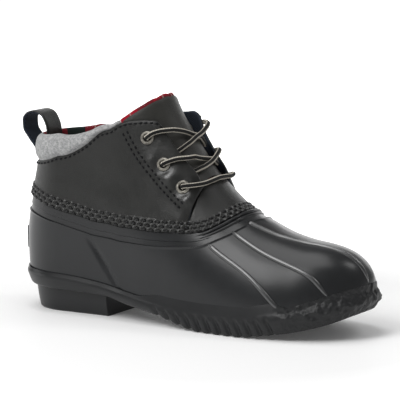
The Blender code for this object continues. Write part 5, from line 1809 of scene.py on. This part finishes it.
@dataclass
class Laces:
    """Lace bar across the lowest eyelets and two crossings above it."""

    eyelets: Eyelets
    radius: float = 0.0018
    rise: tuple = (-0.0016, -0.0002, 0.0012, 0.0026)
    bar: tuple = (
        (-1, 0.1057, 56.0, 0.0066), (-1, 0.1098, 62.0, 0.0064), (-1, 0.1122, 67.0, 0.0054),
        (-1, 0.1135, 72.0, 0.0038), (-1, 0.1148, 80.0, 0.0027), (-1, 0.1152, 88.0, 0.0025),
        (1, 0.1148, 80.0, 0.0027), (1, 0.1132, 72.0, 0.0040), (1, 0.1112, 67.0, 0.0057),
        (1, 0.1088, 62.0, 0.0062), (1, 0.1053, 56.0, 0.0062),
    )
    low_outer: tuple = (
        (-1, 0.0894, 53.0, 0.0066), (-1, 0.0943, 60.0, 0.0070), (-1, 0.0980, 66.0, 0.0070),
        (-1, 0.1001, 72.0, 0.0050), (-1, 0.1027, 80.0, 0.0026), (-1, 0.1043, 88.0, 0.0018),
        (1, 0.1047, 82.0, 0.0014), (1, 0.1044, 75.0, 0.0008), (1, 0.1040, 70.0, 0.0007),
    )
    low_inner: tuple = (
        (1, 0.0900, 53.0, 0.0074), (1, 0.0946, 60.0, 0.0078), (1, 0.0984, 67.0, 0.0073),
        (1, 0.1016, 74.0, 0.0058), (1, 0.1046, 82.0, 0.0038), (-1, 0.1069, 88.0, 0.0032),
        (-1, 0.1072, 82.0, 0.0027), (-1, 0.1060, 74.0, 0.0010), (-1, 0.1046, 68.5, 0.0006),
        (-1, 0.1038, 66.5, 0.0006),
    )
    high_outer: tuple = (
        (-1, 0.0758, 53.0, 0.0066), (-1, 0.0805, 60.0, 0.0070), (-1, 0.0843, 66.0, 0.0071),
        (-1, 0.0873, 72.0, 0.0050), (-1, 0.0903, 80.0, 0.0026), (-1, 0.0928, 88.0, 0.0018),
        (1, 0.0936, 82.0, 0.0014), (1, 0.0936, 75.0, 0.0008), (1, 0.0930, 68.0, 0.0007),
        (1, 0.0922, 64.0, 0.0007),
    )
    high_inner: tuple = (
        (1, 0.0772, 54.0, 0.0116), (1, 0.0822, 61.0, 0.0118), (1, 0.0868, 68.0, 0.0104),
        (1, 0.0900, 74.0, 0.0076), (1, 0.0930, 82.0, 0.0044), (-1, 0.0947, 88.0, 0.0033),
        (-1, 0.0952, 82.0, 0.0027), (-1, 0.0946, 74.0, 0.0013), (-1, 0.0934, 68.0, 0.0008),
        (-1, 0.0920, 63.5, 0.0008),
    )

    def leaving(self, number: int, side: Side) -> list:
        """Points where a lace comes up through an eyelet, from inside outward."""
        centre, axis = self.eyelets.seat(number, side)
        return [centre + axis * rise for rise in self.rise]

    def run(self, rows: tuple) -> list:
        """Points over the last of a table of side, station, angle and lift."""
        return [LAST.above(station, angle, side, np.asarray(lift)) for side, station, angle, lift in rows]

    def cord(self, points: list) -> tuple:
        """Round cord on a smooth line through the points."""
        return tube_arrays(relax(smooth_line(np.array(points), 150), 6), self.radius, 20)

    def crossing(self, number: int, inner: tuple, outer: tuple) -> list:
        """Two strands, each from its eyelet over the tongue and under the other flap."""
        return [self.cord(self.leaving(number, Side.INNER) + self.run(inner)),
                self.cord(self.leaving(number, Side.OUTER) + self.run(outer))]

    def build(self) -> None:
        """Make the three lace pieces."""
        bar = self.leaving(2, Side.OUTER) + self.run(self.bar) + self.leaving(2, Side.INNER)[::-1]
        plain_piece("lace_low", [self.cord(bar)], LACE, "lace_cord", "lace_bar")
        middle = self.crossing(1, self.low_inner, self.low_outer)
        plain_piece("lace_middle", middle, LACE, "lace_cord", "lace_cross_lower")
        high = self.crossing(0, self.high_inner, self.high_outer)
        plain_piece("lace_high", high, LACE, "lace_cord", "lace_cross_upper")


# Stage


@dataclass
class Studio:
    """White floor and world, soft lights and the camera at the photograph's angle."""

    azimuth: float = 30.6
    elevation: float = 9.8
    distance: float = 2.0
    look: tuple = (0.10, 0.0, 0.06)
    sensor: float = 36.0
    lens: float = 2767.2 * 36 / 400
    shift: tuple = (0.005075, 0.092)
    world: float = 0.25
    floor_reach: float = 30.0
    floor_colour: tuple = (0.93, 0.93, 0.93, 1.0)
    # Painted light: the floor glows; near the boot the glow falls to a small share, which paints shade round
    # the boot.
    painted_floor_glow: float = 0.80
    painted_shade_glow_near: float = 0.07
    painted_shade_centre: tuple = (0.10, 0.0, 0.0)
    painted_shade_reach: tuple = (0.20, 0.60)
    lights: tuple = (
        # name, place, aim, size, power
        ("key", (-0.14, -0.89, 0.98), (0.10, 0.0, 0.06), (0.58, 0.80), 9.6),
        ("overhead", (0.02, -0.05, 1.15), (0.08, 0.0, 0.05), (0.9, 0.6), 4.5),
        ("backdrop", (-0.30, 1.50, 0.42), (0.12, 0.0, 0.06), (1.6, 0.5), 5.0),
        ("left", (-1.25, -0.35, 0.40), (0.05, 0.0, 0.07), (0.6, 0.6), 2.6),
        ("window", (0.72, 0.42, 0.98), (0.20, 0.0, 0.04), (0.22, 0.34), 1.3),
    )

    def camera(self) -> None:
        """Camera that keeps the photograph's view."""
        az, el = math.radians(self.azimuth), math.radians(self.elevation)
        back = Vector((math.sin(az) * math.cos(el), -math.cos(az) * math.cos(el), math.sin(el)))
        right = Vector((math.cos(az), math.sin(az), 0.0))
        up = back.cross(right)
        data = bpy.data.cameras.new("camera")
        data.lens = self.lens
        data.sensor_width = self.sensor
        data.shift_x, data.shift_y = self.shift
        item = new_item("camera", data)
        turn = Matrix((right, up, back)).transposed().to_4x4()
        item.matrix_world = Matrix.Translation(Vector(self.look) + back * self.distance) @ turn
        bpy.context.scene.camera = item

    def light(self, name: str, place: tuple, aim: tuple, size: tuple, power: float) -> None:
        """Soft rectangular light turned to its aim."""
        data = bpy.data.lights.new(name, "AREA")
        data.shape = "RECTANGLE"
        data.size, data.size_y = size
        data.energy = power
        item = new_item(name, data)
        item.location = place
        item.rotation_euler = (Vector(aim) - Vector(place)).to_track_quat("-Z", "Y").to_euler()

    def floor(self) -> None:
        """Wide pale floor with painted light: its glow rises with distance from the boot and is dimmed near
        it, which paints shade round the boot.
        """
        far = self.floor_reach
        points = np.array([(-far, -far, 0), (far, -far, 0), (far, far, 0), (-far, far, 0)], float)
        item = fill_mesh("floor", points, np.array([[0, 1, 2, 3]]), points[None, :, :2])
        item.location.z = -0.0001
        material = bpy.data.materials.new("pale_floor")
        material.use_nodes = True
        graph = Graph(material.node_tree)
        shader = material.node_tree.nodes["Principled BSDF"]
        tone = graph.span(graph.noise(graph.place(), 3.0), 0.3, 0.7, 0.55, 0.65)
        # Painted shade: the floor's glow is dimmed near the boot and rises with distance from it.
        away = graph.distance(graph.place(), self.painted_shade_centre)
        share = graph.span(away, *self.painted_shade_reach, self.painted_shade_glow_near, 1.0)
        painted_glow = graph.mix(share, (0.0, 0.0, 0.0, 1.0), (1.0, 1.0, 1.0, 1.0))
        graph.feed(shader.inputs, {
            "Base Color": self.floor_colour, "Specular IOR Level": 0.2, "Roughness": tone,
            "Emission Color": painted_glow, "Emission Strength": self.painted_floor_glow})
        item.data.materials.append(material)

    def build(self) -> None:
        """Set the world, floor, lights, camera and a plain view of colour."""
        world = bpy.data.worlds.new("studio")
        bpy.context.scene.world = world
        world.use_nodes = True
        background = world.node_tree.nodes["Background"]
        background.inputs[0].default_value = (1.0, 1.0, 1.0, 1.0)
        background.inputs[1].default_value = self.world
        bpy.context.scene.view_settings.view_transform = "Standard"
        self.floor()
        for row in self.lights:
            self.light(*row)
        self.camera()


def dress_insole(insole: Item) -> None:
    """Give the CAD insole its cloth."""
    insole.data.materials.clear()
    insole.data.materials.append(INSOLE_CLOTH.build())


def main(nodes: dict) -> None:
    """Build the boot's looks piece by piece.

    Args:
        nodes: CAD objects by name.
    """
    Studio().build()
    eyelets = Eyelets()
    upper = LeatherUpper(eyelets)
    sole = Outsole()
    RubberShell().build()
    upper.build()
    Stitching(upper).build()
    Tongue().build()
    Collar().build()
    sole.build()
    HeelBlock(sole).build()
    HeelPatch().build()
    PullLoop().build()
    eyelets.build()
    Laces(eyelets).build()
    dress_insole(nodes["insole"])


if __name__ == "__main__":
    logging.basicConfig(level=logging.INFO, format="%(message)s")
    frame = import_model()
    main(frame["nodes"])
